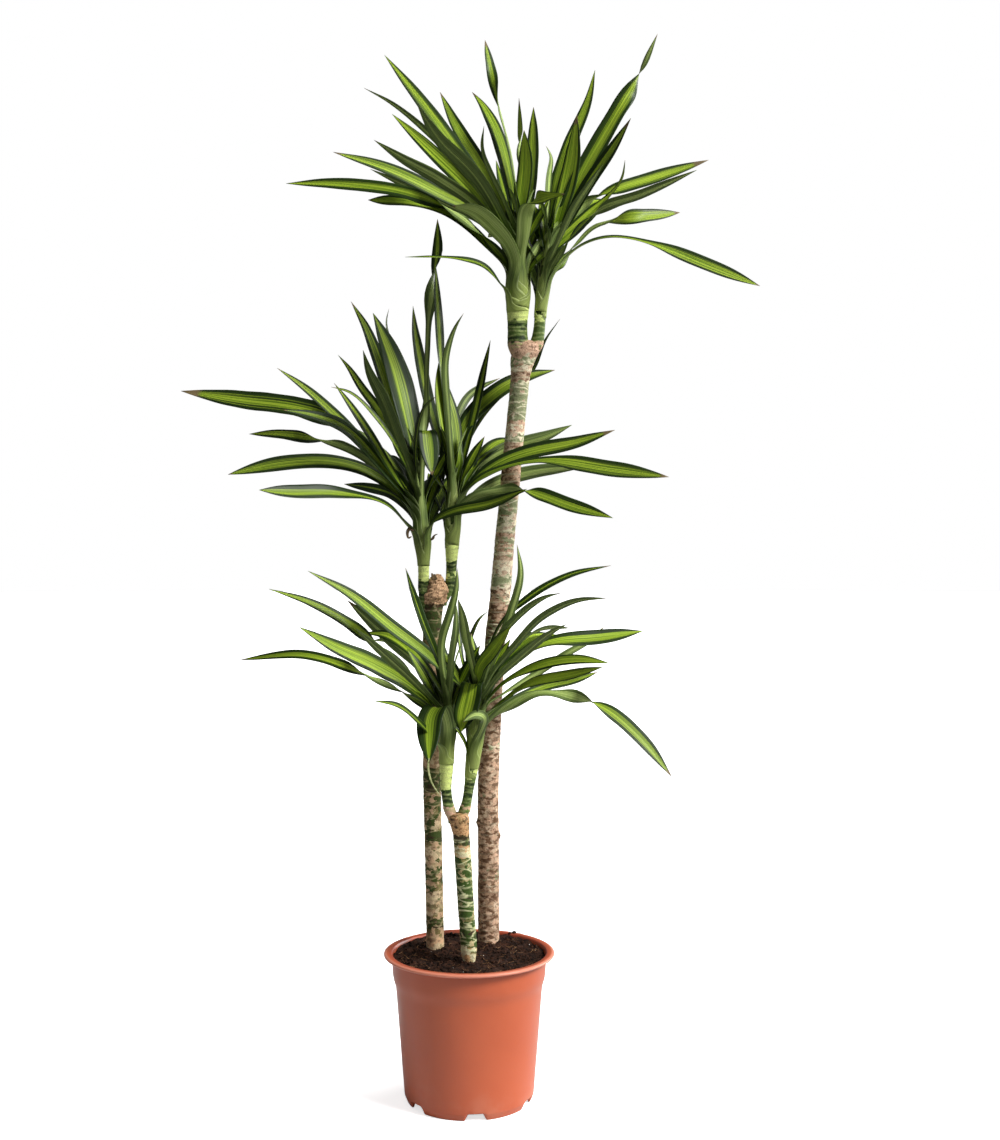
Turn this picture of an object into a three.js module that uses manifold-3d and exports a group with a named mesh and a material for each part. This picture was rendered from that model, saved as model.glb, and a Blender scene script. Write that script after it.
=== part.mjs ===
// A corn plant in a nursery pot: three cut canes of a lime-striped, narrow-leaved dracaena, each with two
// leafy shoots from its top, set in peat in a round plastic pot.
// Millimetres, +Z up. The origin is on the pot's axis, on the surface that the pot stands on.
import * as THREE from "three";
import { mergeVertices } from "three/addons/utils/BufferGeometryUtils.js";
import Module from "manifold-3d";

const wasm = await Module();
wasm.setup();

// ---- Driving dimensions ----------------------------------------------------------------------------------

const GAP = 0.3; // clearance between neighbouring pieces

const POT = {
  height: 207,
  rimRadius: 120,
  mouthRadius: 108,
  lipHeight: 7.5,
  collarTopRadius: 109,
  collarFootRadius: 107,
  collarFoot: 167,
  bodyTopRadius: 103,
  bodyFootRadius: 91,
  footRadius: 87.5,
  footHeight: 9,
  wall: 1.8,
  footWall: 3,
  floor: 14.2,
  floorThickness: 2.2,
  sides: 40,
};

// The first notch is this many degrees from the front.
const NOTCH = { count: 6, first: 7, height: 9, bottomWidth: 31, topWidth: 20 };
const DRAIN = { count: 6, radius: 5, circle: 58, sides: 12 };

const SOIL = { front: 198, back: 203.5, lump: 1.3, sides: 30, rings: [98, 84, 66, 46, 24] };

const CANE = { sides: 12, scarSpacing: 42, scarHeight: 0.6, buried: 70, topFlatness: 0.22 };

const BLADE = {
  leastWidth: 19, // mm, of a narrow leaf
  sheath: 0.75, // width at the stem, which it clasps, as a share of the greatest
  petiole: 0.42, // width at its narrow neck
  neck: 0.26, // where the neck is, of the way to the tip
  broadest: 0.68,
  foldAtStem: 34, // degrees that each half rises from flat
  foldBeyond: 15,
  thickness: 1.5,
  tipThickness: 0.7,
  twistFrom: 0.32,
  twistTo: 0.66,
  stations: [0, 0.2, 0.44, 0.68, 0.86],
};

// ---- The measured view -----------------------------------------------------------------------------------

// Canes, shoots and leaves were measured by eye in one picture, 1000 wide and 1140 high, taken in front of
// the pot. These are that view's distance, height, sideways place, downward tilt and focal length in pixels.
const VIEW = {
  distance: 2003.6,
  height: 761.2,
  right: 43.4,
  tilt: 0.00911,
  focal: 1425.8,
  middle: [500, 570],
};

// The point seen at picture place [px, py], lying depth mm behind the pot's axis.
function place([px, py], depth) {
  const across = (px - VIEW.middle[0]) / VIEW.focal;
  const up = (VIEW.middle[1] - py) / VIEW.focal;
  const forward = Math.cos(VIEW.tilt) + up * Math.sin(VIEW.tilt);
  const rise = -Math.sin(VIEW.tilt) + up * Math.cos(VIEW.tilt);
  const reach = (depth + VIEW.distance) / forward;
  return new THREE.Vector3(VIEW.right + reach * across, depth, VIEW.height + reach * rise);
}

// Millimetres across one pixel at a given depth.
const pixelSize = (depth) => (VIEW.distance + depth) / VIEW.focal;

const eye = new THREE.Vector3(VIEW.right, -VIEW.distance, VIEW.height);

// ---- Canes and shoots: rows of [px, py, width px] from the bottom up -------------------------------------

const STEMS = {
  tall: {
    depth: 63,
    cane: [
      [488.5, 948, 21.5], [488.5, 860, 21.2], [488.2, 790, 21], [491, 720, 20.5], [495.3, 640, 20.5],
      [499.7, 600, 20.5], [504.8, 540, 19.5], [507.7, 510, 19], [512.2, 460, 19.2], [518.1, 400, 18.5],
      [521, 375, 19.5], [523, 358, 24.5], [525, 347, 27], [525.5, 341, 20],
    ],
    left: {
      side: -1,
      depth: 61,
      line: [
        [521, 352, 14], [519, 330, 17.6], [517.8, 310, 22], [517.8, 292, 26],
        [518, 275, 23], [519, 255, 16], [520, 236, 9], [521, 222, 3],
      ],
    },
    right: {
      side: 1,
      depth: 67,
      line: [
        [533, 352, 9], [536, 338, 10.8], [539, 318, 11.2], [541.5, 298, 13.5],
        [544, 280, 15.5], [546.5, 262, 13], [549, 244, 8], [551, 228, 3],
      ],
    },
  },
  middle: {
    depth: 31,
    cane: [
      [435.5, 954, 17.8], [434.5, 900, 17.6], [433.5, 850, 17.6], [432, 780, 17.8], [431.5, 700, 18],
      [432, 640, 18.6], [433, 612, 19.6], [434.5, 600, 23], [436.5, 590, 29], [438, 582, 28],
      [439.5, 576, 18],
    ],
    left: {
      side: -1,
      depth: 28,
      line: [
        [425, 600, 7], [424.5, 585, 9.4], [424.4, 572, 9.6], [423.8, 556, 13], [422.5, 540, 18.5],
        [421, 522, 17], [420, 500, 12], [419, 478, 6], [418.5, 462, 2.5],
      ],
    },
    right: {
      side: 1,
      depth: 34,
      line: [
        [449, 600, 7], [450.8, 584, 10], [451.3, 566, 11], [452, 545, 13.8],
        [452.8, 522, 17.5], [453, 500, 15.5], [452, 478, 10], [451, 460, 4],
      ],
    },
  },
  short: {
    depth: -34,
    cane: [
      [469.5, 966, 9], [469, 955, 14.5], [468.4, 940, 16.2], [466.6, 915, 16.2], [464.6, 885, 16.4],
      [462.4, 850, 16.8], [461, 832, 17.6], [459.2, 819, 20.5], [457.3, 809.5, 25.5], [457, 804.5, 23.5],
    ],
    left: {
      side: -1,
      depth: -36,
      line: [
        [450.5, 818, 6], [447.8, 804, 9], [446, 787, 11.2], [446.4, 770, 13.5], [446.8, 750, 16],
        [447.5, 728, 17], [448, 708, 13], [448.8, 690, 7], [449, 676, 3],
      ],
    },
    right: {
      side: 1,
      depth: -32,
      line: [
        [465, 818, 6.5], [467, 801, 8.8], [469.3, 786, 10.2], [472.2, 766, 13.4], [474.8, 744, 16.5],
        [477.5, 722, 17], [478.5, 702, 12], [478, 686, 6], [477.5, 676, 3],
      ],
    },
  },
};

// ---- Leaves ----------------------------------------------------------------------------------------------

const UPPER = 1; // the glossy upper face shows
const UNDER = -1; // the paler underside shows

// One row is one leaf: [shoot, py where it leaves the stem, broadest seen width px, face shown,
// mm that its tip lies behind its root, then the [px, py] points of its midrib out to the tip].
const LEAVES = {
  tall: [
    ["left", 250, 13, UPPER, 90, [482, 185], [455, 147], [420, 100], [384.5, 55]],
    ["left", 262, 6, UNDER, -150, [478, 190], [440, 145], [395, 105.5], [364, 88]],
    ["left", 266, 14, UPPER, 160, [480, 202], [425, 145], [392, 114]],
    ["left", 272, 12, UNDER, -140, [482, 212], [438, 179], [404, 160], [374, 140]],
    ["left", 275, 12.5, UPPER, -60, [482, 218], [440, 194], [388, 169], [333, 152]],
    ["left", 270, 8, UNDER, 150, [485, 225], [445, 204], [400, 183], [370, 169]],
    ["left", 285, 11.5, UPPER, 60, [497, 252], [455, 212], [405, 192.5], [340, 184], [286, 183.5]],
    ["left", 290, 10.5, UPPER, -160, [497, 257], [455, 217], [405, 202], [368, 200]],
    ["left", 282, 11, UPPER, -205, [507, 243], [482, 215], [452, 208.5]],
    ["left", 245, 13, UPPER, 150, [484, 172], [457, 127], [440, 92]],
    ["left", 255, 14, UNDER, -185, [478, 180], [437, 137], [417, 104]],
    ["left", 240, 13, UPPER, 120, [508, 178], [497, 135], [483, 106], [472, 92]],
    ["left", 235, 8.5, UPPER, 110, [512.5, 160], [499.5, 108], [489, 60], [485, 40]],
    ["left", 242, 4.5, UNDER, -180, [503, 200], [482, 150], [484, 126]],
    ["left", 236, 6, UNDER, -130, [521.5, 165], [520.5, 128], [519, 98]],
    ["left", 240, 12, UPPER, 180, [530, 200], [533, 150], [533.5, 107]],
    ["left", 246, 13, UPPER, 150, [522, 205], [526, 165], [524, 130]],
    ["left", 272, 11, UPPER, -170, [524, 238], [531, 207], [546, 195], [565, 194]],
    ["left", 305, 5.5, UPPER, -120, [500, 284], [484, 266], [455, 258.5], [405, 257]],
    ["left", 252, 8, UPPER, 185, [512, 225], [503, 190], [496, 160]],
    ["left", 290, 12, UPPER, 50, [530, 262], [560, 222], [600, 196], [650, 179], [708.6, 160]],
    ["left", 296, 11, UPPER, -140, [533, 266], [562, 240], [602, 203], [622, 180], [625, 160]],
    ["right", 262, 6, UNDER, 60, [548, 215], [550, 172], [552, 157], [546, 146]],
    ["right", 262, 13, UPPER, 150, [556, 190], [571, 143], [588, 102], [595, 70]],
    ["right", 256, 17, UPPER, 180, [560, 215], [572, 165], [577, 115]],
    ["right", 268, 17, UPPER, 60, [575, 190], [610, 125], [637, 78], [657.5, 34]],
    ["right", 266, 12, UPPER, -120, [585, 190], [615, 145], [631, 118]],
    ["right", 270, 7, UNDER, -170, [575, 207], [590, 184], [603, 164]],
    ["right", 280, 9, UNDER, -150, [570, 238], [600, 209], [640, 195], [697, 170]],
    ["right", 285, 12, UPPER, 130, [570, 250], [592, 227], [617, 218.3], [650, 215.5], [680, 212.5]],
    ["right", 290, 12, UPPER, -40, [575, 250], [608, 237.5], [650, 243.5], [705, 264], [760, 286]],
  ],
  middle: [
    ["left", 520, 18, UPPER, 60, [385, 462], [345, 424], [300, 408], [240, 400], [181, 391]],
    ["left", 512, 10, UPPER, -140, [375, 455], [332, 412], [305, 388], [277, 368]],
    ["left", 522, 12, UPPER, -185, [385, 470], [345, 428], [312, 415], [283, 410]],
    ["left", 528, 9.5, UPPER, 170, [390, 478], [345, 446], [300, 436.5], [275, 434], [249, 434]],
    ["left", 532, 14, UPPER, -70, [402, 500], [370, 473], [330, 462], [280, 464], [228, 474.5]],
    ["left", 545, 13, UPPER, -150, [408, 527], [385, 504], [335, 492.5], [290, 492], [259, 490]],
    ["left", 535, 10, UPPER, 185, [412, 515], [392, 495], [370, 488], [344, 484]],
    ["left", 505, 9, UPPER, 170, [400, 450], [378, 410], [361, 387], [349, 368], [338, 355]],
    ["left", 515, 8, UPPER, -170, [397, 480], [368, 432], [345, 398], [334, 383]],
    ["left", 500, 4, UPPER, -195, [395, 445], [372, 413], [350, 392.5], [331, 387]],
    ["left", 495, 12, UNDER, -120, [398, 440], [383, 400], [369, 372], [363, 350]],
    ["left", 490, 12, UPPER, 130, [404, 440], [384, 378], [366, 328], [351, 301.5]],
    ["left", 485, 18, UPPER, 90, [410, 430], [396, 370], [383, 335], [373, 313]],
    ["left", 482, 4, UPPER, 190, [408, 420], [395, 360], [386, 322], [389, 309]],
    ["left", 480, 11, UPPER, 120, [424, 430], [426, 360], [430, 305], [438, 250], [437.5, 219]],
    ["left", 500, 3.5, UPPER, -110, [416, 450], [424, 408], [437, 396]],
    ["left", 520, 17, UPPER, -150, [418, 480], [421, 448], [427, 430], [430, 474]],
    ["left", 542, 11, UPPER, -110, [436, 520], [455, 511], [490, 504], [527, 489]],
    ["right", 490, 11, UPPER, 130, [440, 445], [428, 400], [420, 360], [415, 330], [413, 306]],
    ["right", 480, 6, UPPER, 70, [443, 400], [439.5, 345], [437.5, 300], [436, 262]],
    ["right", 478, 7, UNDER, -140, [449, 420], [446, 360], [455, 328], [463.5, 313.5]],
    ["right", 505, 8, UPPER, 80, [462, 465], [475, 412], [484, 370], [490.5, 340]],
    ["right", 495, 17, UPPER, 150, [452, 455], [448, 420], [441, 385], [438.5, 363]],
    ["right", 490, 8, UNDER, 185, [456, 425], [470, 395], [500, 378]],
    ["right", 498, 16, UPPER, 110, [466, 425], [497, 392], [525, 377], [555, 370]],
    ["right", 510, 13, UNDER, 150, [475, 470], [505, 450], [545, 437], [572, 425]],
    ["right", 512, 14, UPPER, -20, [475, 481], [500, 463], [530, 452], [575, 443], [615, 430]],
    ["right", 516, 15, UPPER, -75, [472, 486], [500, 470], [545, 461], [612, 469.5], [669, 477]],
    ["right", 520, 13, UNDER, 140, [470, 500], [495, 484], [521, 475], [550, 470], [582, 468]],
    ["right", 522, 13, UPPER, -125, [470, 500], [490, 492.5], [525, 490.5], [572, 506], [613, 518]],
    ["right", 505, 4, UPPER, 180, [470, 440], [497, 400], [532, 372], [545, 341], [560, 319]],
  ],
  short: [
    ["left", 728, 9, UPPER, 140, [420, 702], [385, 683], [340, 664], [300, 654.5], [239, 660]],
    ["left", 722, 10, UPPER, -60, [418, 681], [395, 659], [350, 624.5], [310, 602.5], [269, 589]],
    ["left", 728, 17, UPPER, -150, [415, 690], [375, 665], [335, 647], [299, 627]],
    ["right", 702, 13, UPPER, -90, [455, 683], [428, 655], [394, 629], [350, 594], [308, 571]],
    ["left", 712, 13, UNDER, 140, [425, 672], [400, 648], [375, 626], [347, 600]],
    ["left", 718, 9, UNDER, -150, [412, 680], [385, 655], [355, 628]],
    ["left", 755, 5, UPPER, -190, [421, 724.5], [398, 706], [373.5, 701]],
    ["left", 745, 15, UPPER, -130, [446, 720], [437, 708], [428, 742], [441, 796]],
    ["left", 702, 8, UPPER, -150, [440, 665], [424, 625], [412, 590], [405.5, 568]],
    ["left", 705, 8, UNDER, -160, [442, 645], [452, 608], [457, 585], [457, 568]],
    ["left", 696, 7, UNDER, -200, [452, 660], [456, 630], [456, 603]],
    ["right", 690, 9, UNDER, -190, [467, 645], [462, 615], [458, 598.5]],
    ["right", 692, 4, UPPER, 150, [463, 665], [458, 630], [454, 603]],
    ["right", 695, 4, UPPER, 60, [468, 655], [474, 630], [481, 616.5], [489, 611]],
    ["right", 695, 8, UNDER, -130, [498, 650], [512, 610], [521, 575], [517, 544.5]],
    ["right", 692, 4, UPPER, -20, [500, 626], [530, 597], [570, 575], [611, 565.5]],
    ["right", 697, 7, UNDER, -170, [500, 638], [522, 613], [545, 597], [562, 593]],
    ["right", 700, 7, UNDER, -120, [495, 670], [515, 646], [540, 619], [575, 601], [609, 598]],
    ["right", 706, 8, UNDER, -200, [498, 678], [522, 656], [548, 634.5], [567, 624]],
    ["right", 708, 14.5, UPPER, 70, [503, 670], [545, 644], [600, 637.5], [643, 631]],
    ["right", 710, 6, UNDER, -160, [540, 672], [570, 652], [590, 641], [605, 625.5]],
    ["right", 716, 10, UPPER, -100, [500, 687], [535, 667], [575, 659.5], [609, 663]],
    ["right", 722, 10, UPPER, -150, [503, 702], [530, 683.5], [570, 675], [603, 667]],
    ["right", 727, 9, UPPER, 110, [505, 705], [545, 687], [575, 680], [598, 672]],
    ["right", 732, 12.5, UPPER, -60, [508, 707], [540, 691.5], [600, 706], [640, 738], [672, 777]],
    ["right", 698, 13, UPPER, -150, [480, 668], [492, 652], [511, 626]],
    ["right", 716, 22, UPPER, -170, [475, 687], [468, 697], [459, 717]],
    ["right", 750, 9, UNDER, -35, [480, 719], [461, 723]],
    ["right", 768, 3, UPPER, -20, [462, 737], [447, 719]],
  ],
};

// Leaves on the far side of each head, which the view doesn't show, follow a rule. Each shoot has one for
// each of these turns, in degrees outwards from straight back: the further it turns, the higher it ends.
// On the short cane they leave a way for the two canes that stand behind it.
const FAR = {
  tall: { turns: [4, 15, 27, 38], rise: 0.55 },
  middle: { turns: [4, 15, 27, 36], rise: 0.4 },
  short: { turns: [-9, 42, 50], rise: 0.34 },
};
const FAR_LEAF = { length: 270, reach: 0.64, leastRise: 0.2, widestTurn: 50, arch: 0.5, width: 23 };

// The innermost far leaf of each shoot lies across its neighbour's, this far behind and above their roots.
const CROSSING = { behind: 88, above: 62, beyond: 1.05, drop: 20 };

// ---- Solids ----------------------------------------------------------------------------------------------

// A closed three.js geometry as a solid with its faces outwards.
function solidOf(geometry) {
  const bare = geometry.index ? geometry.toNonIndexed() : geometry;
  bare.deleteAttribute("normal");
  bare.deleteAttribute("uv");
  const merged = mergeVertices(bare, 1e-4);
  const triVerts = new Uint32Array(merged.index.array);
  const vertProperties = new Float32Array(merged.attributes.position.array);
  const solid = new wasm.Manifold(new wasm.Mesh({ numProp: 3, vertProperties, triVerts }));
  if (solid.volume() > 0) return solid;
  for (let i = 0; i < triVerts.length; i += 3) triVerts.subarray(i, i + 3).reverse();
  return new wasm.Manifold(new wasm.Mesh({ numProp: 3, vertProperties, triVerts }));
}

// The largest of a solid's separate bodies: what a cut leaves loose is dropped.
function largestBody(solid) {
  return solid.decompose().reduce((best, body) => (body.volume() > best.volume() ? body : best));
}

const joined = (solids) => solids.reduce((sum, solid) => sum.add(solid));

function namedMesh(name, solid, material) {
  const { vertProperties, triVerts } = solid.getMesh();
  const geometry = new THREE.BufferGeometry();
  geometry.setAttribute("position", new THREE.BufferAttribute(vertProperties, 3));
  geometry.setIndex(new THREE.BufferAttribute(triVerts, 1));
  geometry.computeVertexNormals();
  const mesh = new THREE.Mesh(geometry, material);
  mesh.name = name;
  return mesh;
}

const finish = (color, roughness) => new THREE.MeshStandardMaterial({ color, roughness, metalness: 0 });

const smooth = (from, to, x) => THREE.MathUtils.smoothstep(x, from, to);

// ---- Pot -------------------------------------------------------------------------------------------------

// A profile of [radius, height] points turned about the upright axis.
function turned(profile, sides) {
  const lathe = new THREE.LatheGeometry(profile.map(([r, z]) => new THREE.Vector2(r, z)), sides);
  return lathe.rotateX(Math.PI / 2);
}

// The inner wall's radius at its three corners, shared by the pot and the soil that fills it.
const inside = {
  foot: POT.bodyFootRadius - POT.wall,
  bodyTop: POT.bodyTopRadius - POT.wall,
  collarFoot: POT.collarFootRadius - POT.wall,
  collarTop: POT.collarTopRadius - POT.wall,
};

function potProfile() {
  const lipFoot = POT.height - POT.lipHeight;
  const lipRound = POT.lipHeight / 2;
  const lip = [70, 35, 0, -35, -70].map((degrees) => {
    const turn = THREE.MathUtils.degToRad(degrees);
    return [POT.rimRadius - lipRound * (1 - Math.cos(turn)), POT.height - lipRound * (1 - Math.sin(turn))];
  });
  return [
    [0, POT.floor],
    [inside.foot, POT.floor],
    [inside.bodyTop, POT.collarFoot - POT.wall],
    [inside.collarFoot, POT.collarFoot + POT.wall],
    [inside.collarTop, lipFoot],
    [POT.mouthRadius, POT.height - 1],
    [POT.mouthRadius + 1.5, POT.height],
    ...lip,
    [POT.collarTopRadius, lipFoot],
    [POT.collarFootRadius, POT.collarFoot + 0.6],
    [POT.bodyTopRadius, POT.collarFoot - 1],
    [POT.bodyFootRadius, POT.footHeight],
    [POT.footRadius, 0],
    [POT.footRadius - POT.footWall, 0],
    [POT.footRadius - POT.footWall + 1, POT.floor - POT.floorThickness],
    [0, POT.floor - POT.floorThickness],
  ];
}

// One water gap in the foot: a block with slanted ends and rounded upper corners.
function notchCutter() {
  const low = NOTCH.bottomWidth / 2;
  const high = NOTCH.topWidth / 2;
  const shape = new THREE.Shape();
  shape.moveTo(-low, -1);
  shape.lineTo(low, -1);
  shape.lineTo(high + 1, NOTCH.height - 2);
  shape.quadraticCurveTo(high, NOTCH.height, high - 2, NOTCH.height);
  shape.lineTo(2 - high, NOTCH.height);
  shape.quadraticCurveTo(-high, NOTCH.height, -high - 1, NOTCH.height - 2);
  const block = new THREE.ExtrudeGeometry(shape, { depth: 24, bevelEnabled: false, curveSegments: 2 });
  return block.rotateX(Math.PI / 2).translate(0, 12 - POT.footRadius, 0);
}

function makePot() {
  let pot = solidOf(turned(potProfile(), POT.sides));
  for (let i = 0; i < NOTCH.count; i += 1) {
    const turn = THREE.MathUtils.degToRad(NOTCH.first + (360 * i) / NOTCH.count);
    pot = pot.subtract(solidOf(notchCutter().rotateZ(turn)));
  }
  for (let i = 0; i < DRAIN.count; i += 1) {
    const turn = (2 * Math.PI * i) / DRAIN.count;
    const hole = new THREE.CylinderGeometry(DRAIN.radius, DRAIN.radius, 12, DRAIN.sides).rotateX(Math.PI / 2);
    hole.translate(DRAIN.circle * Math.cos(turn), DRAIN.circle * Math.sin(turn), POT.floor);
    pot = pot.subtract(solidOf(hole));
  }
  return pot;
}

// ---- Canes and shoots ------------------------------------------------------------------------------------

// A stem's centre line through its measured rows, and its radius there.
function stemLine(rows, depth) {
  const points = rows.map(([px, py]) => place([px, py], depth));
  const radii = rows.map(([, , width]) => (width * pixelSize(depth)) / 2);
  const curve = new THREE.CatmullRomCurve3(points, false, "catmullrom", 0.5);
  const radiusAt = (t) => {
    const x = Math.min(t, 1) * (radii.length - 1);
    const i = Math.min(Math.floor(x), radii.length - 2);
    return THREE.MathUtils.lerp(radii[i], radii[i + 1], x - i);
  };
  return { curve, radiusAt };
}

// The place along a stem, from 0 to 1, that is seen at picture height py.
function stationAt(rows, py) {
  const i = Math.max(1, rows.findIndex((row) => row[1] <= py));
  const [lower, upper] = [rows[i - 1][1], rows[i][1]];
  return (i - 1 + (lower - py) / (lower - upper)) / (rows.length - 1);
}

// A closed tube of level rings: centres and radii are given from the bottom up.
function ringTube(centres, radii, sides, flatness = radii.map(() => 1)) {
  const tube = new THREE.CylinderGeometry(1, 1, 1, sides, centres.length - 1);
  const position = tube.attributes.position;
  for (let i = 0; i < position.count; i += 1) {
    const ring = Math.round((position.getY(i) + 0.5) * (centres.length - 1));
    const [x, z] = [position.getX(i), position.getZ(i)];
    const { x: cx, y: cy, z: cz } = centres[ring];
    position.setXYZ(i, cx + x * radii[ring], cy + z * radii[ring] * flatness[ring], cz);
  }
  return tube;
}

// A cane: its measured line from the soil up, with raised leaf scars, and a plain part below in the soil.
function makeCane(stem, grow) {
  const { curve, radiusAt } = stemLine(stem.cane, stem.depth);
  const length = curve.getLength();
  const scars = Math.round(length / CANE.scarSpacing);
  const steps = scars * 2;
  const foot = curve.getPoint(0);
  const centres = [foot.clone().setZ(foot.z - CANE.buried - grow), foot.clone().setZ(foot.z - 4)];
  const radii = [radiusAt(0) + grow, radiusAt(0) + grow];
  const flatness = [1, 1];
  for (let i = 0; i <= steps; i += 1) {
    const t = curve.getUtoTmapping(i / steps);
    const scar = i % 2 ? CANE.scarHeight : 0;
    centres.push(curve.getPoint(t));
    radii.push(radiusAt(t) + scar + grow);
    flatness.push(1 - CANE.topFlatness * smooth(0.93, 1, i / steps));
  }
  centres.at(-1).z += grow;
  return solidOf(ringTube(centres, radii, CANE.sides, flatness));
}

function makeStem({ line, depth }) {
  const { curve, radiusAt } = stemLine(line, depth);
  const steps = line.length - 1;
  const stations = Array.from({ length: steps + 1 }, (_, i) => i / steps);
  return solidOf(ringTube(stations.map((t) => curve.getPoint(t)), stations.map(radiusAt), 9));
}

// ---- Leaves ----------------------------------------------------------------------------------------------

// A blade's width along its length, as a share of its greatest width.
function bladeShare(u) {
  const clasp = (BLADE.sheath - BLADE.petiole) * (1 - smooth(0, BLADE.neck, u));
  const body = BLADE.petiole + (1 - BLADE.petiole) * smooth(BLADE.neck / 2, BLADE.broadest, u);
  const beyond = Math.max(0, (u - BLADE.broadest) / (1 - BLADE.broadest));
  return (clasp + body) * (1 - beyond ** 2.2);
}

// The side direction of a flat, untwisted blade that leaves the stem towards its tip.
function levelSide(root, tip) {
  const outward = tip.clone().sub(root).setZ(0).normalize();
  return new THREE.Vector3(0, 0, 1).cross(outward);
}

// The turn about the midrib that shows the given face, at the seen share of its width, to the viewer.
function twistFor(point, tangent, side, seenShare, face) {
  const look = point.clone().sub(eye).normalize();
  const across = tangent.clone().cross(look).normalize();
  const along = tangent.clone().cross(across);
  const level = side.clone().addScaledVector(tangent, -side.dot(tangent)).normalize();
  const up = tangent.clone().cross(level);
  const lean = Math.sqrt(1 - seenShare ** 2);
  const turns = [-1, 1].map((sign) => {
    const wanted = across.clone().multiplyScalar(seenShare).addScaledVector(along, sign * lean);
    wanted.multiplyScalar(face);
    return Math.atan2(wanted.dot(up), wanted.dot(level));
  });
  return Math.abs(turns[0]) < Math.abs(turns[1]) ? turns[0] : turns[1];
}

// A blade as a closed solid: rings of left edge, upper rib, right edge and lower rib, ending in a point.
function bladeSolid(curve, width, twist, side) {
  const positions = [];
  for (const u of BLADE.stations) {
    const centre = curve.getPointAt(u);
    const tangent = curve.getTangentAt(u);
    const level = side.clone().addScaledVector(tangent, -side.dot(tangent)).normalize();
    const turn = twist * smooth(BLADE.twistFrom, BLADE.twistTo, u);
    const across = level.applyAxisAngle(tangent, turn);
    const normal = tangent.clone().cross(across);
    const half = (width * bladeShare(u)) / 2;
    const rise = THREE.MathUtils.lerp(BLADE.foldAtStem, BLADE.foldBeyond, smooth(0, BLADE.broadest, u));
    const fold = THREE.MathUtils.degToRad(rise);
    const thick = THREE.MathUtils.lerp(BLADE.thickness, BLADE.tipThickness, u) / 2;
    const edge = normal.clone().multiplyScalar(half * Math.sin(fold));
    const reach = across.clone().multiplyScalar(half * Math.cos(fold));
    positions.push(
      centre.clone().add(edge).sub(reach),
      centre.clone().addScaledVector(normal, thick),
      centre.clone().add(edge).add(reach),
      centre.clone().addScaledVector(normal, -thick),
    );
  }
  positions.push(curve.getPointAt(1));
  return solidOf(ringsToPoint(positions, 4));
}

// Rings of equal size, joined in order and closed by a cap at the start and the last point at the end.
function ringsToPoint(points, size) {
  const rings = (points.length - 1) / size;
  const index = [0, 1, 2, 0, 2, 3];
  for (let ring = 0; ring < rings - 1; ring += 1) {
    for (let k = 0; k < size; k += 1) {
      const [a, b] = [ring * size + k, ring * size + ((k + 1) % size)];
      // the quads beside an edge are split alike above and below it
      if (k % 2) index.push(a, a + size, b, b, a + size, b + size);
      else index.push(a, a + size, b + size, a, b + size, b);
    }
  }
  const last = (rings - 1) * size;
  for (let k = 0; k < size; k += 1) index.push(last + k, points.length - 1, last + ((k + 1) % size));
  const geometry = new THREE.BufferGeometry().setFromPoints(points);
  geometry.setIndex(index);
  return geometry;
}

// The midrib of a measured leaf: its depth grows evenly with the seen length.
function measuredMidrib(stem, [shoot, py, , , away, ...seen]) {
  const { line, depth } = stem[shoot];
  const { curve } = stemLine(line, depth);
  const root = curve.getPoint(stationAt(line, py));
  const rootSeen = [THREE.MathUtils.lerp(line[0][0], line.at(-1)[0], stationAt(line, py)), py];
  const legs = seen.map((point, i) => {
    const before = i ? seen[i - 1] : rootSeen;
    return Math.hypot(point[0] - before[0], point[1] - before[1]);
  });
  const total = legs.reduce((sum, leg) => sum + leg, 0);
  let gone = 0;
  const points = [root];
  seen.forEach((point, i) => {
    gone += legs[i];
    points.push(place(point, depth + (away * gone) / total));
  });
  return new THREE.CatmullRomCurve3(points);
}

function measuredLeaf(stem, row) {
  const [, , seenWidth, face, away] = row;
  const curve = measuredMidrib(stem, row);
  const seen = seenWidth * pixelSize(stem.depth + away * BLADE.broadest);
  const width = Math.max(BLADE.leastWidth, seen * 1.06);
  const side = levelSide(curve.points[0], curve.points.at(-1));
  const point = curve.getPointAt(BLADE.broadest);
  const twist = twistFor(point, curve.getTangentAt(BLADE.broadest), side, Math.min(1, seen / width), face);
  return bladeSolid(curve, width, twist, side);
}

// The root of a far leaf: a point on its stem, t of the way up.
const stemPoint = ({ line, depth }, t) => stemLine(line, depth).curve.getPoint(t);

// A leaf on the far side: it rises backwards and arches over towards its tip.
function farLeaf(shoot, outwards, rise, twist) {
  const share = Math.abs(outwards) / FAR_LEAF.widestTurn;
  const root = stemPoint(shoot, 0.5 + 0.3 * share);
  const aside = THREE.MathUtils.degToRad(outwards) * shoot.side;
  const end = THREE.MathUtils.lerp(FAR_LEAF.leastRise, rise, share);
  const points = [0, 0.3, 0.65, 1].map((u) => {
    const out = FAR_LEAF.length * FAR_LEAF.reach * u;
    const up = FAR_LEAF.length * ((end + FAR_LEAF.arch) * u - FAR_LEAF.arch * u * u);
    return new THREE.Vector3(out * Math.sin(aside), out * Math.cos(aside), up).add(root);
  });
  const side = levelSide(points[0], points[3]);
  return bladeSolid(new THREE.CatmullRomCurve3(points), FAR_LEAF.width, twist, side);
}

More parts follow.
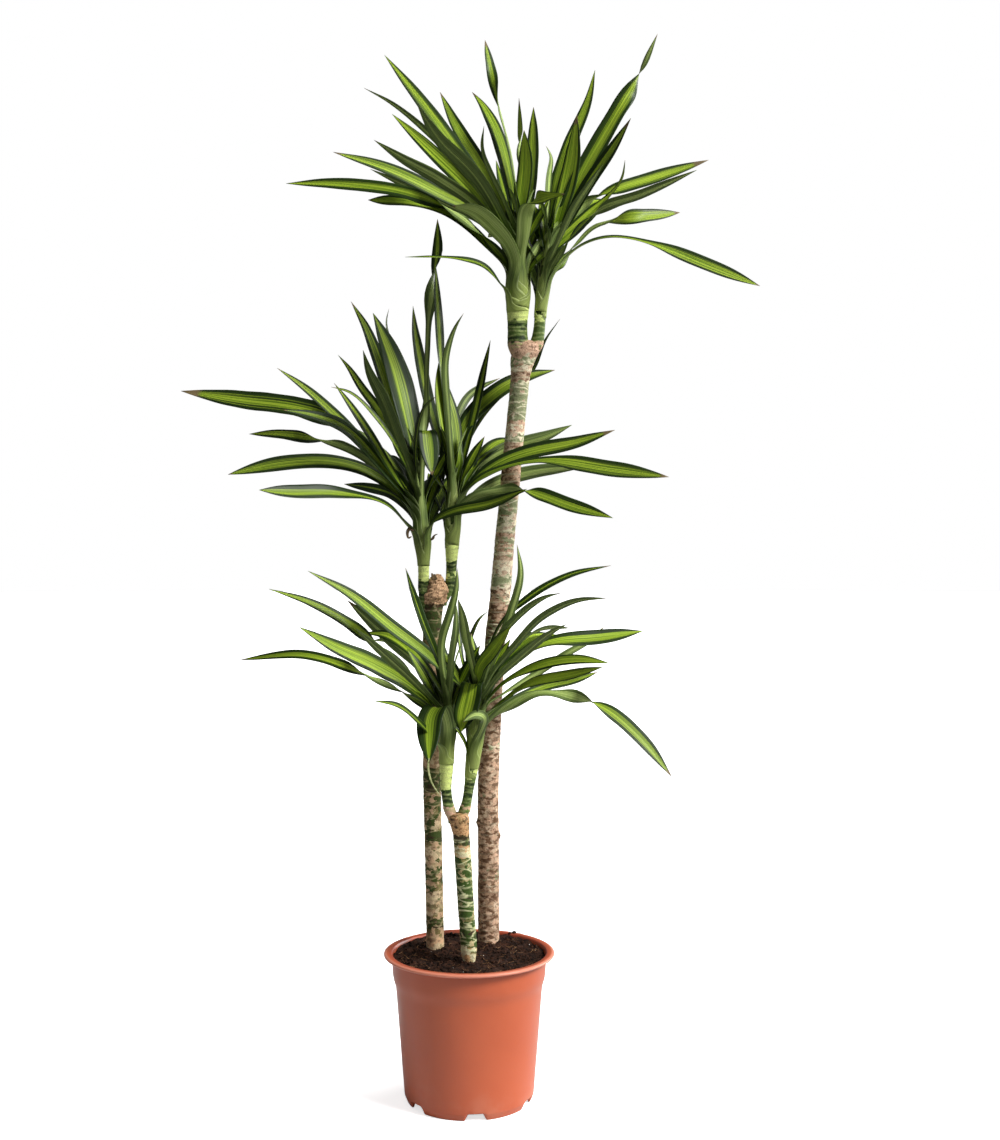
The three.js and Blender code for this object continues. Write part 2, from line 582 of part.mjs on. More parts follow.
// The two far leaves that cross and hold a head together.
function crossingLeaves(stem) {
  const roots = [stemPoint(stem.left, 0.55), stemPoint(stem.right, 0.55)];
  const offset = new THREE.Vector3(0, CROSSING.behind, CROSSING.above);
  const meet = roots[0].clone().lerp(roots[1], 0.5).add(offset);
  return roots.map((root) => {
    const tip = meet.clone().addScaledVector(meet.clone().sub(root), CROSSING.beyond);
    tip.z -= CROSSING.drop;
    return bladeSolid(new THREE.CatmullRomCurve3([root, meet, tip]), FAR_LEAF.width, 0, levelSide(root, tip));
  });
}

function makeCrown(name) {
  const stem = STEMS[name];
  const pieces = [makeStem(stem.left), makeStem(stem.right), ...crossingLeaves(stem)];
  pieces.push(...LEAVES[name].map((row) => measuredLeaf(stem, row)));
  const { turns, rise } = FAR[name];
  for (const shoot of [stem.left, stem.right]) {
    pieces.push(...turns.map((turn, i) => farLeaf(shoot, turn, rise, i % 2 ? 0.5 : -0.5)));
  }
  return largestBody(joined(pieces).subtract(makeCane(stem, GAP)));
}

// ---- Soil ------------------------------------------------------------------------------------------------

// The height of the peat: higher at the back, with low lumps.
function soilHeight(x, y) {
  const slope = THREE.MathUtils.lerp(SOIL.front, SOIL.back, smooth(-70, 90, y));
  const lumps = Math.sin(x * 0.11 + 1.3) * Math.cos(y * 0.13) + 0.7 * Math.sin(x * 0.23 - y * 0.19 + 0.6);
  return slope + SOIL.lump * lumps;
}

function makeSoil() {
  const lowTop = SOIL.front - 4;
  const profile = [
    [0, POT.floor + GAP],
    [inside.foot - GAP, POT.floor + GAP],
    [inside.bodyTop - 2 * GAP, POT.collarFoot - POT.wall - GAP],
    [inside.collarFoot - 2 * GAP, POT.collarFoot + POT.wall + GAP],
    [inside.collarTop - 3 * GAP, lowTop],
    ...SOIL.rings.map((radius) => [radius, POT.height]),
    [0, POT.height],
  ];
  const heap = turned(profile, SOIL.sides);
  const position = heap.attributes.position;
  for (let i = 0; i < position.count; i += 1) {
    if (position.getZ(i) > lowTop + 1) position.setZ(i, soilHeight(position.getX(i), position.getY(i)));
  }
  return Object.values(STEMS).reduce((soil, stem) => soil.subtract(makeCane(stem, GAP)), solidOf(heap));
}

// ---- The plant -------------------------------------------------------------------------------------------

const terracotta = finish(0xbe6446, 0.5);
const peat = finish(0x2a1b16, 0.95);
const bark = { tall: finish(0xa98a6a, 0.85), middle: finish(0x9c8a62, 0.8), short: finish(0x6f8050, 0.75) };
const leafGreen = finish(0x7fa52f, 0.4);

const plant = new THREE.Group();
plant.add(namedMesh("pot", makePot(), terracotta));
plant.add(namedMesh("soil", makeSoil(), peat));
for (const name of Object.keys(STEMS)) {
  plant.add(namedMesh(`cane_${name}`, makeCane(STEMS[name], 0), bark[name]));
  plant.add(namedMesh(`crown_${name}`, makeCrown(name), leafGreen));
}

export default plant;
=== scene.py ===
# %% [markdown]
# # A potted corn plant
# Three cut canes of a lime-striped dracaena stand in peat in a terracotta-coloured nursery pot, and each
# carries two leafy shoots. The imported CAD model comes first, and every new piece rides on its one body.
# All shapes are worked out in millimetres and written in metres.

# %% Load the frame
import math

import bpy
import numpy as np
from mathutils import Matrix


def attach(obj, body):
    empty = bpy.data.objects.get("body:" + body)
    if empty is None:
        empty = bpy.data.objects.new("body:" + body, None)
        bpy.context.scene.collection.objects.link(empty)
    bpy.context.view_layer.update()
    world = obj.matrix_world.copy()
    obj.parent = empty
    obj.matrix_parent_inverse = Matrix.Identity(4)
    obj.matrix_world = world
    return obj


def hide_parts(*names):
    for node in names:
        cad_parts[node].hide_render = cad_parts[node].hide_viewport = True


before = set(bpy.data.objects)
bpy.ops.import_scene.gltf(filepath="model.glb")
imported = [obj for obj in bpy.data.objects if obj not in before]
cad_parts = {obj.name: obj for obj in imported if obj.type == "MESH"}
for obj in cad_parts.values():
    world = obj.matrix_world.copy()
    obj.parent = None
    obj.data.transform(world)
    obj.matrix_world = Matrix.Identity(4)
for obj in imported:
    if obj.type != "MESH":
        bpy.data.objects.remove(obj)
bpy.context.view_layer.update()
MM = 0.001

# %% [markdown]
# ## The camera
# The plant was measured in one view, 1000 wide and 1140 high. The view was solved from the pot: a
# camera 2.0 m in front of the pot's axis, 0.76 m up and tilted half a degree down. A camera could be set by
# eye as well, but here the same numbers also turn picture places into points, so the render and the
# measures agree.

# %% The measured view
VIEW = {
    "width": 1000,
    "height": 1140,
    "focal": 1425.8,  # in picture pixels
    "distance": 2003.6,  # mm in front of the pot's axis
    "up": 761.2,
    "right": 43.4,
    "tilt": 0.00911,  # radians downwards
}
EYE = np.array([VIEW["right"], -VIEW["distance"], VIEW["up"]])


def place(px, py, depth):
    """Points in mm: each lies on the ray through its picture place, where the ray is depth mm behind the
    axis."""
    px, py, depth = np.broadcast_arrays(np.asarray(px, float), py, depth)
    across = (px - VIEW["width"] / 2) / VIEW["focal"]
    up = (VIEW["height"] / 2 - py) / VIEW["focal"]
    forward = math.cos(VIEW["tilt"]) + up * math.sin(VIEW["tilt"])
    rise = up * math.cos(VIEW["tilt"]) - math.sin(VIEW["tilt"])
    reach = (depth + VIEW["distance"]) / forward
    return np.stack([EYE[0] + reach * across, depth, EYE[2] + reach * rise], -1)


def pixel_size(depth):
    """Millimetres across one pixel at a depth."""
    return (VIEW["distance"] + depth) / VIEW["focal"]


SENSOR = 36.0
lens = bpy.data.cameras.new("camera")
lens.sensor_width = SENSOR
lens.lens = VIEW["focal"] * SENSOR / VIEW["height"]
lens.clip_end = 60
camera = bpy.data.objects.new("camera", lens)
camera.location = EYE * MM
camera.rotation_euler = (math.pi / 2 - VIEW["tilt"], 0, 0)
bpy.context.scene.collection.objects.link(camera)
bpy.context.scene.camera = camera
print("lens", round(lens.lens, 2), "mm")

# %% [markdown]
# ## Shared tools for shapes
# Stems, leaves, fibres and scraps are all tubes: a row of rings carried along a path. Curves with a bevel
# would draw them too, but a bevel keeps its shape along the curve, and a leaf's section changes all the
# way. One ring layout serves them all, so a whole head of leaves is a single array and its faces come from
# a small pattern of numbers. Both ends are closed with a ladder of quads, which keeps every tube
# watertight.

# %% Tubes and meshes
def tube_faces(count, rows, columns):
    """Quads of equal closed tubes: ring point j joins j + 1 and the next ring, and ladders close the ends."""
    ring = np.arange(columns)
    after = np.roll(ring, -1)
    low = (np.arange(rows - 1) * columns)[:, None]
    wall = np.stack([low + ring, low + after, low + columns + after, low + columns + ring], -1)
    k = np.arange(columns // 2 - 1)
    cap = np.stack([k, k + 1, columns - 2 - k, columns - 1 - k], -1)
    one = np.concatenate([wall.reshape(-1, 4), cap[:, ::-1], cap + (rows - 1) * columns])
    return (one + (np.arange(count) * rows * columns)[:, None, None]).reshape(-1, 4)


def write_mesh(name, points, faces, fields):
    """An object from points in mm and equal-sided faces, with named numbers stored on its points."""
    mesh = bpy.data.meshes.new(name)
    points = np.asarray(points, float).reshape(-1, 3)
    mesh.vertices.add(len(points))
    mesh.vertices.foreach_set("co", (points * MM).ravel())
    mesh.loops.add(faces.size)
    mesh.loops.foreach_set("vertex_index", faces.ravel().astype(np.int32))
    mesh.polygons.add(len(faces))
    mesh.polygons.foreach_set("loop_start", np.arange(len(faces), dtype=np.int32) * faces.shape[1])
    mesh.polygons.foreach_set("use_smooth", np.ones(len(faces), bool))
    mesh.update(calc_edges=True)
    mesh.validate()
    for label, values in (fields or {}).items():
        attribute = mesh.attributes.new(label, "FLOAT", "POINT")
        attribute.data.foreach_set("value", np.asarray(values, np.float32).ravel())
    thing = bpy.data.objects.new(name, mesh)
    bpy.context.scene.collection.objects.link(thing)
    print(name, len(points), "points", len(faces), "faces")
    return thing


def tubes(name, rings, fields=None):
    """One object of equal closed tubes; rings is (tubes, rows, columns, 3), each ring anticlockwise from
    its end."""
    return write_mesh(name, rings, tube_faces(*rings.shape[:3]), fields)


def stacked(parts):
    """The numbers of several tubes, a dictionary for each, as one dictionary of arrays."""
    return {label: np.stack([part[label] for part in parts]) for label in parts[0]}


# %% [markdown]
# ## Shared tools for lines and noise
# A measured line is a few points with a smooth curve through them. A centripetal spline passes
# through every point and never loops, and stepping along it by length keeps the rings even. Relief and
# irregular edges could come from Displace modifiers with textures. Lattice noise does the same as a pure
# function of place and a seed, so a shape and the marks painted on it can share it.

# %% Lines and noise
def smooth(low, high, x):
    """A smooth step: 0 below low, 1 above high, and 3t^2 - 2t^3 between them."""
    t = np.clip((np.asarray(x, float) - low) / (high - low), 0, 1)
    return t * t * (3 - 2 * t)


def lerp(a, b, t):
    """a where t is 0 and b where it is 1."""
    return a + (b - a) * t


def unit(vectors):
    """Vectors at length 1."""
    return vectors / np.maximum(np.linalg.norm(vectors, axis=-1, keepdims=True), 1e-9)


def along(line):
    """The length gone at each point of a line, from its first three columns."""
    return np.concatenate([[0], np.cumsum(np.linalg.norm(np.diff(line[:, :3], axis=0), axis=1))])


def walk(line, shares):
    """The line's columns at shares of its length, linear between its points."""
    gone = along(line)
    return np.stack([np.interp(np.asarray(shares) * gone[-1], gone, column) for column in line.T], -1)


def spline(points, count, per=24):
    """A centripetal spline through the points, in count even steps; further columns ride along."""
    p = np.asarray(points, float)
    p = np.vstack([2 * p[0] - p[1], p, 2 * p[-1] - p[-2]])
    gaps = np.sqrt(np.linalg.norm(np.diff(p[:, :3], axis=0), axis=1))[:, None]
    d0, d1, d2 = gaps[:-2], gaps[1:-1], gaps[2:]
    a, b, c, d = p[:-3], p[1:-2], p[2:-1], p[3:]
    leave = ((b - a) / d0 - (c - a) / (d0 + d1) + (c - b) / d1) * d1
    arrive = ((c - b) / d1 - (d - b) / (d1 + d2) + (d - c) / d2) * d1
    t = np.linspace(0, 1, per, endpoint=False)[:, None, None]
    seen = (
        (2 * t**3 - 3 * t**2 + 1) * b
        + (t**3 - 2 * t**2 + t) * leave
        + (3 * t**2 - 2 * t**3) * c
        + (t**3 - t**2) * arrive
    )
    line = np.vstack([seen.transpose(1, 0, 2).reshape(-1, p.shape[1]), p[-2]])
    return walk(line, np.linspace(0, 1, count))


def softened(line, passes):
    """A line with its kinks eased: each inner point moves to a quarter, half, quarter mean, again and
    again."""
    line = line.copy()
    for _ in range(passes):
        line[1:-1] = line[:-2] / 4 + line[1:-1] / 2 + line[2:] / 4
    return line


LATTICE = 32
SEED_SHIFT = 0.37  # cells between the noises of two seeds


def noise(points, cell, seed):
    """Smooth noise from -1 to 1: random numbers on a cubic lattice, blended between a cell's eight
    corners."""
    table = np.random.default_rng(seed).uniform(-1, 1, (LATTICE,) * 3)
    p = np.asarray(points, float) / cell + SEED_SHIFT * seed
    base = np.floor(p).astype(int)
    t = p - base
    t = t * t * (3 - 2 * t)
    value = np.zeros(p.shape[:-1])
    for corner in np.ndindex(2, 2, 2):
        share = np.prod(np.where(np.array(corner, bool), t, 1 - t), -1)
        i, j, k = np.moveaxis((base + corner) % LATTICE, -1, 0)
        value += share * table[i, j, k]
    return value


# %% [markdown]
# ## The nursery pot
# The pot is one thin shell of revolution: floor, tapering wall, a wider collar and a rolled lip. Its
# profile is a list of corners with a rounding at each, turned about the upright axis. A Screw modifier
# would turn it as well. Worked out as an array, the same shell also gets its six water gaps: they are made
# by lifting the lowest rows of points, so the wall stays closed round each gap. The holes in the floor are
# cut with a Boolean.

# %% Pot dimensions
POT = {
    "height": 207,
    "rim": 120,
    "mouth": 108,
    "lip_foot": 202,
    "collar_top": 109,
    "collar_foot": 107,
    "step": 167,
    "body_top": 103,
    "body_foot": 91,
    "foot": 87.5,
    "foot_height": 9,
    "wall": 1.8,
    "foot_wall": 3,
    "floor": 14.2,
    "floor_thickness": 2.2,
}
NOTCH = {"count": 6, "first": 7, "height": 9, "bottom": 31, "top": 20, "blend": 12}
DRAIN = {"count": 6, "radius": 5, "circle": 58, "from": 5, "to": 20, "sides": 32}
POT_COLUMNS = 432
LARGEST_ARC = 0.45  # of a side, for the rounding of a corner


def rounded(corners, step):
    """A profile of [radius, height, rounding] corners: arcs at the corners and even steps between them."""
    corners = np.asarray(corners, float)
    line = [corners[0, :2]]
    for before, corner, after in zip(corners[:-2], corners[1:-1], corners[2:]):
        back, on = before[:2] - corner[:2], after[:2] - corner[:2]
        room = min(corner[2], LARGEST_ARC * np.linalg.norm(back), LARGEST_ARC * np.linalg.norm(on))
        start, end = corner[:2] + unit(back) * room, corner[:2] + unit(on) * room
        t = np.linspace(0, 1, 7 if corner[2] > 0.4 else 3)[:, None]
        line.extend((1 - t) ** 2 * start + 2 * t * (1 - t) * corner[:2] + t**2 * end)
    line = np.array([*line, corners[-1, :2]])
    pieces = [line[:1]]
    for a, b in zip(line[:-1], line[1:]):
        steps = max(1, int(np.linalg.norm(b - a) / step))
        pieces.append(a + (b - a) * np.linspace(0, 1, steps + 1)[1:, None])
    return np.vstack(pieces)


def notch_depth(turn):
    """How high the foot is cut at an angle: full height in a gap, sloping to nothing at its sides."""
    pitch = 2 * math.pi / NOTCH["count"]
    first = math.radians(NOTCH["first"]) - math.pi / 2
    aside = np.abs((turn - first + pitch / 2) % pitch - pitch / 2) * POT["foot"]
    return NOTCH["height"] * (1 - smooth(NOTCH["top"] / 2 - 0.5, NOTCH["bottom"] / 2 + 0.5, aside))


# %% Build the pot
def pot_rings(columns):
    """The pot's profile turned about +Z, with the foot's rows lifted into the gaps."""
    p = POT
    low = p["floor"] - p["floor_thickness"]
    inner = p["foot"] - p["foot_wall"]
    corners = [
        (2, low, 0), (inner + 1, low, 1), (inner, 0.4, 0.5), (inner + 0.5, 0, 0.3), (p["foot"] - 0.6, 0, 0.6),
        (p["foot"], 0.8, 0.6), (p["body_foot"], p["foot_height"], 1.2), (p["body_top"], p["step"] - 7, 8),
        (p["collar_foot"], p["step"] + 5.5, 8), (p["collar_top"], p["lip_foot"], 0.8),
        (p["rim"] - 2.2, p["lip_foot"] - 0.1, 1.5), (p["rim"], p["lip_foot"] + 1.8, 2.0),
        (p["rim"] - 0.3, p["height"] - 1.2, 2.6), (p["rim"] - 3.5, p["height"], 2.4),
        (p["mouth"] + 1.5, p["height"] - 0.3, 1.4), (p["mouth"], p["height"] - 2, 1.2),
        (p["collar_top"] - p["wall"], p["lip_foot"], 1.0),
        (p["collar_foot"] - p["wall"], p["step"] + 1.8, 1.0),
        (p["body_top"] - p["wall"], p["step"] - 1.8, 1.0),
        (p["body_foot"] - p["wall"], p["floor"], 2.0), (2, p["floor"], 0),
    ]
    profile = rounded(corners, 5)
    turn = np.linspace(0, 2 * math.pi, columns, endpoint=False)
    radius, height = profile[:, :1], profile[:, 1:]
    outer = np.arange(len(profile))[:, None] <= np.argmax(profile[:, 0] > p["body_foot"] + 0.4)
    cut = np.where(outer & (radius > inner - 1), notch_depth(turn), 0) * np.ones_like(height)
    blend = NOTCH["blend"]
    lifted = blend - (blend - height) * (blend - cut) / blend
    height = np.where(height < blend, np.maximum(lifted, height), height)
    return np.stack([radius * np.cos(turn), radius * np.sin(turn), height + 0 * turn], -1)[None]


pot = tubes("nursery_pot", pot_rings(POT_COLUMNS))


def drill(thing, centres, radius, low, high, sides):
    """Round holes through a piece, cut by an applied Boolean with upright round pins."""
    turn = np.linspace(0, 2 * math.pi, sides, endpoint=False)
    pin = np.stack([radius * np.cos(turn), radius * np.sin(turn), 0 * turn], -1)
    rings = np.stack([pin + (*centre, z) for centre in centres for z in (low, high)])
    cutter = tubes("pins", rings.reshape(len(centres), 2, sides, 3))
    cut = thing.modifiers.new("holes", "BOOLEAN")
    cut.operation = "DIFFERENCE"
    cut.object = cutter
    bpy.context.view_layer.objects.active = thing
    bpy.ops.object.modifier_apply(modifier="holes")
    bpy.data.objects.remove(cutter)


turns = 2 * math.pi * np.arange(DRAIN["count"]) / DRAIN["count"]
centres = DRAIN["circle"] * np.stack([np.cos(turns), np.sin(turns)], -1)
drill(pot, centres, DRAIN["radius"], DRAIN["from"], DRAIN["to"], DRAIN["sides"])
print("pot faces after the drain holes:", len(pot.data.polygons))

# %% [markdown]
# ## Canes and shoots as tables
# Each stem was measured from the bottom up as rows of picture place and width. A curve object with a radius
# at each point would follow the same line. Here a stem becomes a table of even steps with its centre,
# radius and picture height, so that rings, scars and coloured bands can all be placed by the height at
# which they are seen.

# %% Measured stems: rows of [px, py, width px]
STEMS = {
    "tall": {
        "depth": 63,
        "cane": [
            (488.5, 948, 21.5), (488.5, 860, 21.2), (488.2, 790, 21), (491, 720, 20.5), (495.3, 640, 20.5),
            (499.7, 600, 20.5), (504.8, 540, 19.5), (507.7, 510, 19), (512.2, 460, 19.2), (518.1, 400, 18.5),
            (520.6, 375, 19.8), (522.5, 362, 24), (525, 352, 27.5), (526.5, 345, 24), (527, 342, 14),
        ],
        "left": {"depth": 61, "bare": 309, "line": [
            (520, 356, 17), (518.3, 346, 21), (517.6, 334, 19.8), (517.5, 322, 20), (517.8, 308, 22.5),
            (517.8, 292, 26), (518, 275, 23), (519, 255, 16), (520, 236, 9), (521, 222, 3),
        ]},
        "right": {"depth": 67, "bare": 318, "line": [
            (530, 357, 11), (534.5, 348, 15.5), (537.6, 339, 13), (539.5, 326, 11.4), (540.5, 312, 12),
            (542, 298, 13.5), (544, 280, 15.5), (546.5, 262, 13), (549, 244, 8), (551, 228, 3),
        ]},
    },
    "middle": {
        "depth": 31,
        "cane": [
            (435.5, 954, 17.8), (434.5, 900, 17.6), (433.5, 850, 17.6), (432, 780, 17.8), (431.5, 700, 18),
            (432, 640, 18.6), (432.3, 620, 19.2), (432.8, 608, 21), (435, 599, 23.8), (436.6, 591, 23.6),
            (437.3, 584, 19), (437.2, 579, 14), (437, 576, 8),
        ],
        "left": {"depth": 28, "bare": 566, "line": [
            (425, 612, 8), (424.3, 600, 10.5), (423.7, 588, 11.2), (423.6, 573, 10.8), (423.6, 556, 13),
            (422.5, 540, 18.5), (421, 522, 17), (420, 500, 12), (419, 478, 6), (418.5, 462, 2.5),
        ]},
        "right": {"depth": 34, "bare": 546, "line": [
            (443, 603, 8), (447.5, 592, 11), (450.4, 580, 10), (451.4, 566, 10.6), (452, 545, 13.8),
            (452.8, 522, 17.5), (453, 500, 15.5), (452, 478, 10), (451, 460, 4),
        ]},
    },
    "short": {
        "depth": -34,
        "cane": [
            (469.5, 966, 9), (469, 955, 14.5), (468.4, 940, 16.2), (466.6, 915, 16.2), (464.6, 885, 16.4),
            (462.4, 850, 16.8), (461, 833, 16.8), (459.6, 824, 19.5), (458.2, 817, 22), (457.7, 814.5, 20),
        ],
        "left": {"depth": -36, "bare": 764, "line": [
            (453, 820, 10), (449.6, 810, 12.2), (447.6, 801, 10.6), (446, 788, 11), (446.4, 770, 13.5),
            (446.8, 750, 16), (447.5, 728, 17), (448, 708, 13), (448.8, 690, 7), (449, 676, 3),
        ]},
        "right": {"depth": -32, "bare": 768, "line": [
            (461, 820, 10), (464.6, 810, 12), (466.8, 801, 10), (469.2, 787, 10.2), (472.2, 766, 13.4),
            (474.8, 744, 16.5), (477.5, 722, 17), (478.5, 702, 12), (478, 686, 6), (477.5, 676, 3),
        ]},
    },
}
X, Y, Z, RADIUS, SEEN, ORDER = range(6)


def stem_table(rows, depth, step=1.0):
    """Even steps up a stem: columns x, y, z, radius, picture height and place in the measured rows."""
    rows = np.asarray(rows, float)
    points = place(rows[:, 0], rows[:, 1], depth)
    extra = [rows[:, 2] * pixel_size(depth) / 2, rows[:, 1], np.linspace(0, 1, len(rows))]
    line = np.column_stack([points, *extra])
    return spline(line, int(along(line)[-1] / step) + 2)


def stem_at(table, value, column=Z):
    """The table's row where one of its columns has a value."""
    order = np.argsort(table[:, column])
    return np.stack([np.interp(value, table[order, column], c[order]) for c in table.T], -1)


for stem in STEMS.values():
    stem["table"] = stem_table(stem["cane"], stem["depth"])
    for side in ("left", "right"):
        stem[side]["table"] = stem_table(stem[side]["line"], stem[side]["depth"])
print({name: len(stem["table"]) for name, stem in STEMS.items()}, "rings up the canes")

# %% [markdown]
# ## Bands of colour on the stems
# A dracaena cane is ringed by old leaf scars, and the rind between them changes from tan and pink to olive
# and deep green. The bands could be painted by hand or come from noise alone, and neither would lie where
# the real ones do. So they were read off by picture height. Each becomes a number on the mesh's points
# (green, dark, pale, warm), with an uneven edge from noise, and the bark material turns the numbers into
# colour.

# %% Measured bands
# {cane: {colour: [(py of the lower edge, py of the upper edge, strength)]}}
BANDS = {
    "tall": {
        "green": [
            (368, 356, 0.75), (402, 383, 0.85), (421, 402, 0.9), (442, 436, 0.8), (466, 456, 0.5),
            (514, 499, 0.95), (534, 515, 0.55), (556, 538, 0.6), (585, 574, 1.0), (604, 597, 0.5),
            (655, 618, 0.7), (748, 742, 0.6), (800, 790, 0.2), (880, 868, 0.2),
        ],
        "dark": [
            (382, 373, 0.35), (455, 443, 0.35), (484, 466, 0.4), (600, 588, 0.45), (618, 603, 0.6),
            # Partly painted shade: the band from py 619 to 640 is the rind's own dark colour plus the shade
            # that falls on the cane there.
            (640, 619, 0.8), (700, 640, 0.45), (760, 700, 0.42), (850, 760, 0.38), (925, 850, 0.4),
            (950, 925, 0.5),
        ],
        "pale": [(532, 515, 0.5), (573, 559, 0.5), (596, 585, 0.35), (440, 425, 0.3), (372, 368, 0.5)],
        "warm": [
            (358, 335, 1.0), (437, 421, 0.45), (484, 466, 0.5), (537, 533, 0.7), (554, 545, 0.5),
            (617, 584, 0.65), (948, 690, 0.35),
        ],
    },
    "middle": {
        "green": [
            (640, 603, 1.0), (662, 648, 0.5), (700, 684, 0.6), (738, 715, 0.45), (791, 767, 1.0),
            (842, 829, 1.0), (880, 869, 0.5), (926, 917, 0.9), (829, 795, 0.45), (912, 850, 0.3),
        ],
        "dark": [
            (612, 603, 0.5), (640, 626, 0.35), (790, 776, 0.45), (842, 834, 0.4), (926, 919, 0.5),
            (725, 700, 0.3),
        ],
        "pale": [(765, 742, 0.4), (828, 816, 0.35), (866, 845, 0.45), (915, 890, 0.35), (955, 938, 0.4)],
        "warm": [(604, 572, 1.0), (683, 664, 0.3), (955, 936, 0.4)],
    },
    "short": {
        "green": [(952, 852, 0.82), (845, 836, 0.7)],
        "dark": [(845, 834, 0.75), (832, 812, 0.3), (900, 889, 0.3), (936, 915, 0.35)],
        "pale": [(856, 848, 0.5), (970, 945, 0.5)],
        "warm": [(835, 798, 1.0), (856, 846, 0.6), (970, 946, 0.55)],
    },
}
SHOOT_BANDS = {
    ("tall", "left"): {
        "lime": [(321, 307, 1.0)], "dark": [(330, 323, 0.5), (346, 336, 0.6)], "warm": [(356, 342, 0.9)],
    },
    ("tall", "right"): {"lime": [(322, 316, 0.5)], "dark": [(316, 300, 0.3)], "warm": [(356, 342, 0.9)]},
    ("middle", "left"): {"lime": [(579, 564, 1.0)], "dark": [(600, 580, 0.6)], "warm": []},
    ("middle", "right"): {
        "lime": [(562, 544, 1.0), (577, 572, 0.7)], "dark": [(571, 563, 0.7), (590, 578, 0.6)], "warm": [],
    },
    ("short", "left"): {"lime": [(788, 763, 0.7)], "dark": [(803, 789, 0.7)], "warm": [(818, 805, 0.7)]},
    ("short", "right"): {"lime": [(778, 755, 0.6)], "dark": [(803, 779, 0.45)], "warm": [(818, 804, 0.7)]},
}
BAND_EDGE = 1.6  # px over which a band fades in


def band_mask(bands, seen, ragged):
    """The strongest band at each picture height; ragged moves the height by some px, so that edges wander."""
    seen = seen + ragged
    mask = np.zeros_like(seen)
    for low, high, strength in bands:
        above_foot = 1 - smooth(low - BAND_EDGE, low + BAND_EDGE, seen)
        mask = np.maximum(mask, strength * (smooth(high - BAND_EDGE, high + BAND_EDGE, seen) * above_foot))
    return mask


# %% [markdown]
# ## The canes
# A cane is a level ring repeated up its measured line. Its relief adds up four things: uneven scar rings
# that tilt and wave a little, a soft swell of the rind between them, the crinkled callus where the cane was
# cut and sprouted, and small dormant buds. Sculpting would give them too, but a sum of plain functions puts
# each where it is seen and can be changed by a number. The part below the peat is a plain stub.

# %% Cane relief
BURIED = 70  # mm of a cane below the peat
STUB_ROWS = 12
CANE_COLUMNS = 48
# The callus of a cut top: (py of its lower edge, crinkle mm)
CALLUS = {"tall": (358, 0.9), "middle": (606, 2.8), "short": (836, 0.5)}
# Dormant buds, and the cut stub on the middle cane: (px, py, size mm, height mm)
BUDS = {
    "tall": [(500, 835, 4.5, 3.0), (477.5, 822, 4.0, 2.4), (498.5, 768, 3.2, 1.2), (486, 880, 3.0, 1.0)],
    "middle": [(442, 718, 3.0, 1.2), (426, 806, 3.0, 1.1), (437, 870, 3.2, 1.0)],
    "short": [(470, 872, 2.6, 1.0)],
}
RING_GAP = {"tall": (9, 20), "middle": (11, 26), "short": (12, 20)}  # mm between scar rings
# Scar rings show at a share of their strength below two picture heights: (lower py, upper py, share)
RING_SHOWS = {"tall": (650, 560, 0.3), "middle": (1, 0, 0.4), "short": (1, 0, 1.0)}
SCAR = {"width": 1.1, "relief": 0.45, "tilt": (0, 1.6), "wave": (0.2, 0.9), "gaps": 14}  # mm
SCARLESS = {"foot": 4, "top": 26}  # mm of a cane
SWELLS = [(0.35, 9), (0.22, 3.2)]  # relief of the rind: (mm, cell mm)
RAGGED = [(2.2, 9), (1.2, 3.5)]  # how far a band's edge wanders: (px, cell mm)


def ring_heights(low, high, gap, seed):
    """Scar heights from low to high, each a seeded random gap above the last."""
    heights = low + np.cumsum(np.random.default_rng(seed).uniform(*gap, 160))
    return heights[heights < high]


def scar_lines(points, turn, heights, seed):
    """How near each point is to a wavy, tilted scar ring: 1 on the ring and 0 from about a millimetre
    away."""
    draw = np.random.default_rng(seed)
    level = np.zeros(points.shape[:-1])
    for height in heights:
        tilt, phase, wave = draw.uniform(*SCAR["tilt"]), draw.uniform(0, 6.3), draw.uniform(*SCAR["wave"])
        edge = height + tilt * np.sin(turn + phase) + wave * np.sin(3 * turn + 2 * phase)
        away = (points[..., 2] - edge) / SCAR["width"]
        broken = 0.65 + 0.5 * noise(points, SCAR["gaps"], int(height) % 97)
        level = np.maximum(level, np.exp(-away**2) * np.clip(broken, 0.15, 1))
    return level


def level_rings(table, columns):
    """Rings of a table: points, outward directions and the turn of each column, starting at +X."""
    turn = np.linspace(0, 2 * math.pi, columns, endpoint=False)
    out = np.stack([np.cos(turn), np.sin(turn), 0 * turn], -1)
    return table[:, None, :3] + table[:, None, RADIUS, None] * out, out, turn


# %% Build the canes
def extended(table, below, dome):
    """A stem's table with a plain stub below it and a rounded top of some height above it."""
    foot = np.repeat(table[:1], STUB_ROWS, axis=0)
    foot[:, Z] -= np.linspace(below, 3, STUB_ROWS)
    t = np.linspace(0.12, 1, 9)
    top = np.repeat(table[-1:], len(t), axis=0)
    top[:, Z] += dome * np.sin(t * math.pi / 2)
    top[:, RADIUS] *= np.maximum(np.cos(t * math.pi / 2), 0.03)
    return np.vstack([foot, table, top])


def bud_relief(name, points):
    """Round bumps on a cane, each a bell curve of the distance from where the bud is seen on the near
    side."""
    relief = 0
    for px, py, size, height in BUDS[name]:
        row = stem_at(STEMS[name]["table"], py, SEEN)
        aside = np.clip((place(px, py, row[Y])[0] - row[X]) / row[RADIUS], -0.98, 0.98)
        front = row[:3] + row[RADIUS] * np.array([aside, -math.sqrt(1 - aside**2), 0])
        away = np.linalg.norm((points - front) * (1, 1, 0.8), axis=-1)
        relief = relief + height * np.exp(-((away / size) ** 2))
    return relief


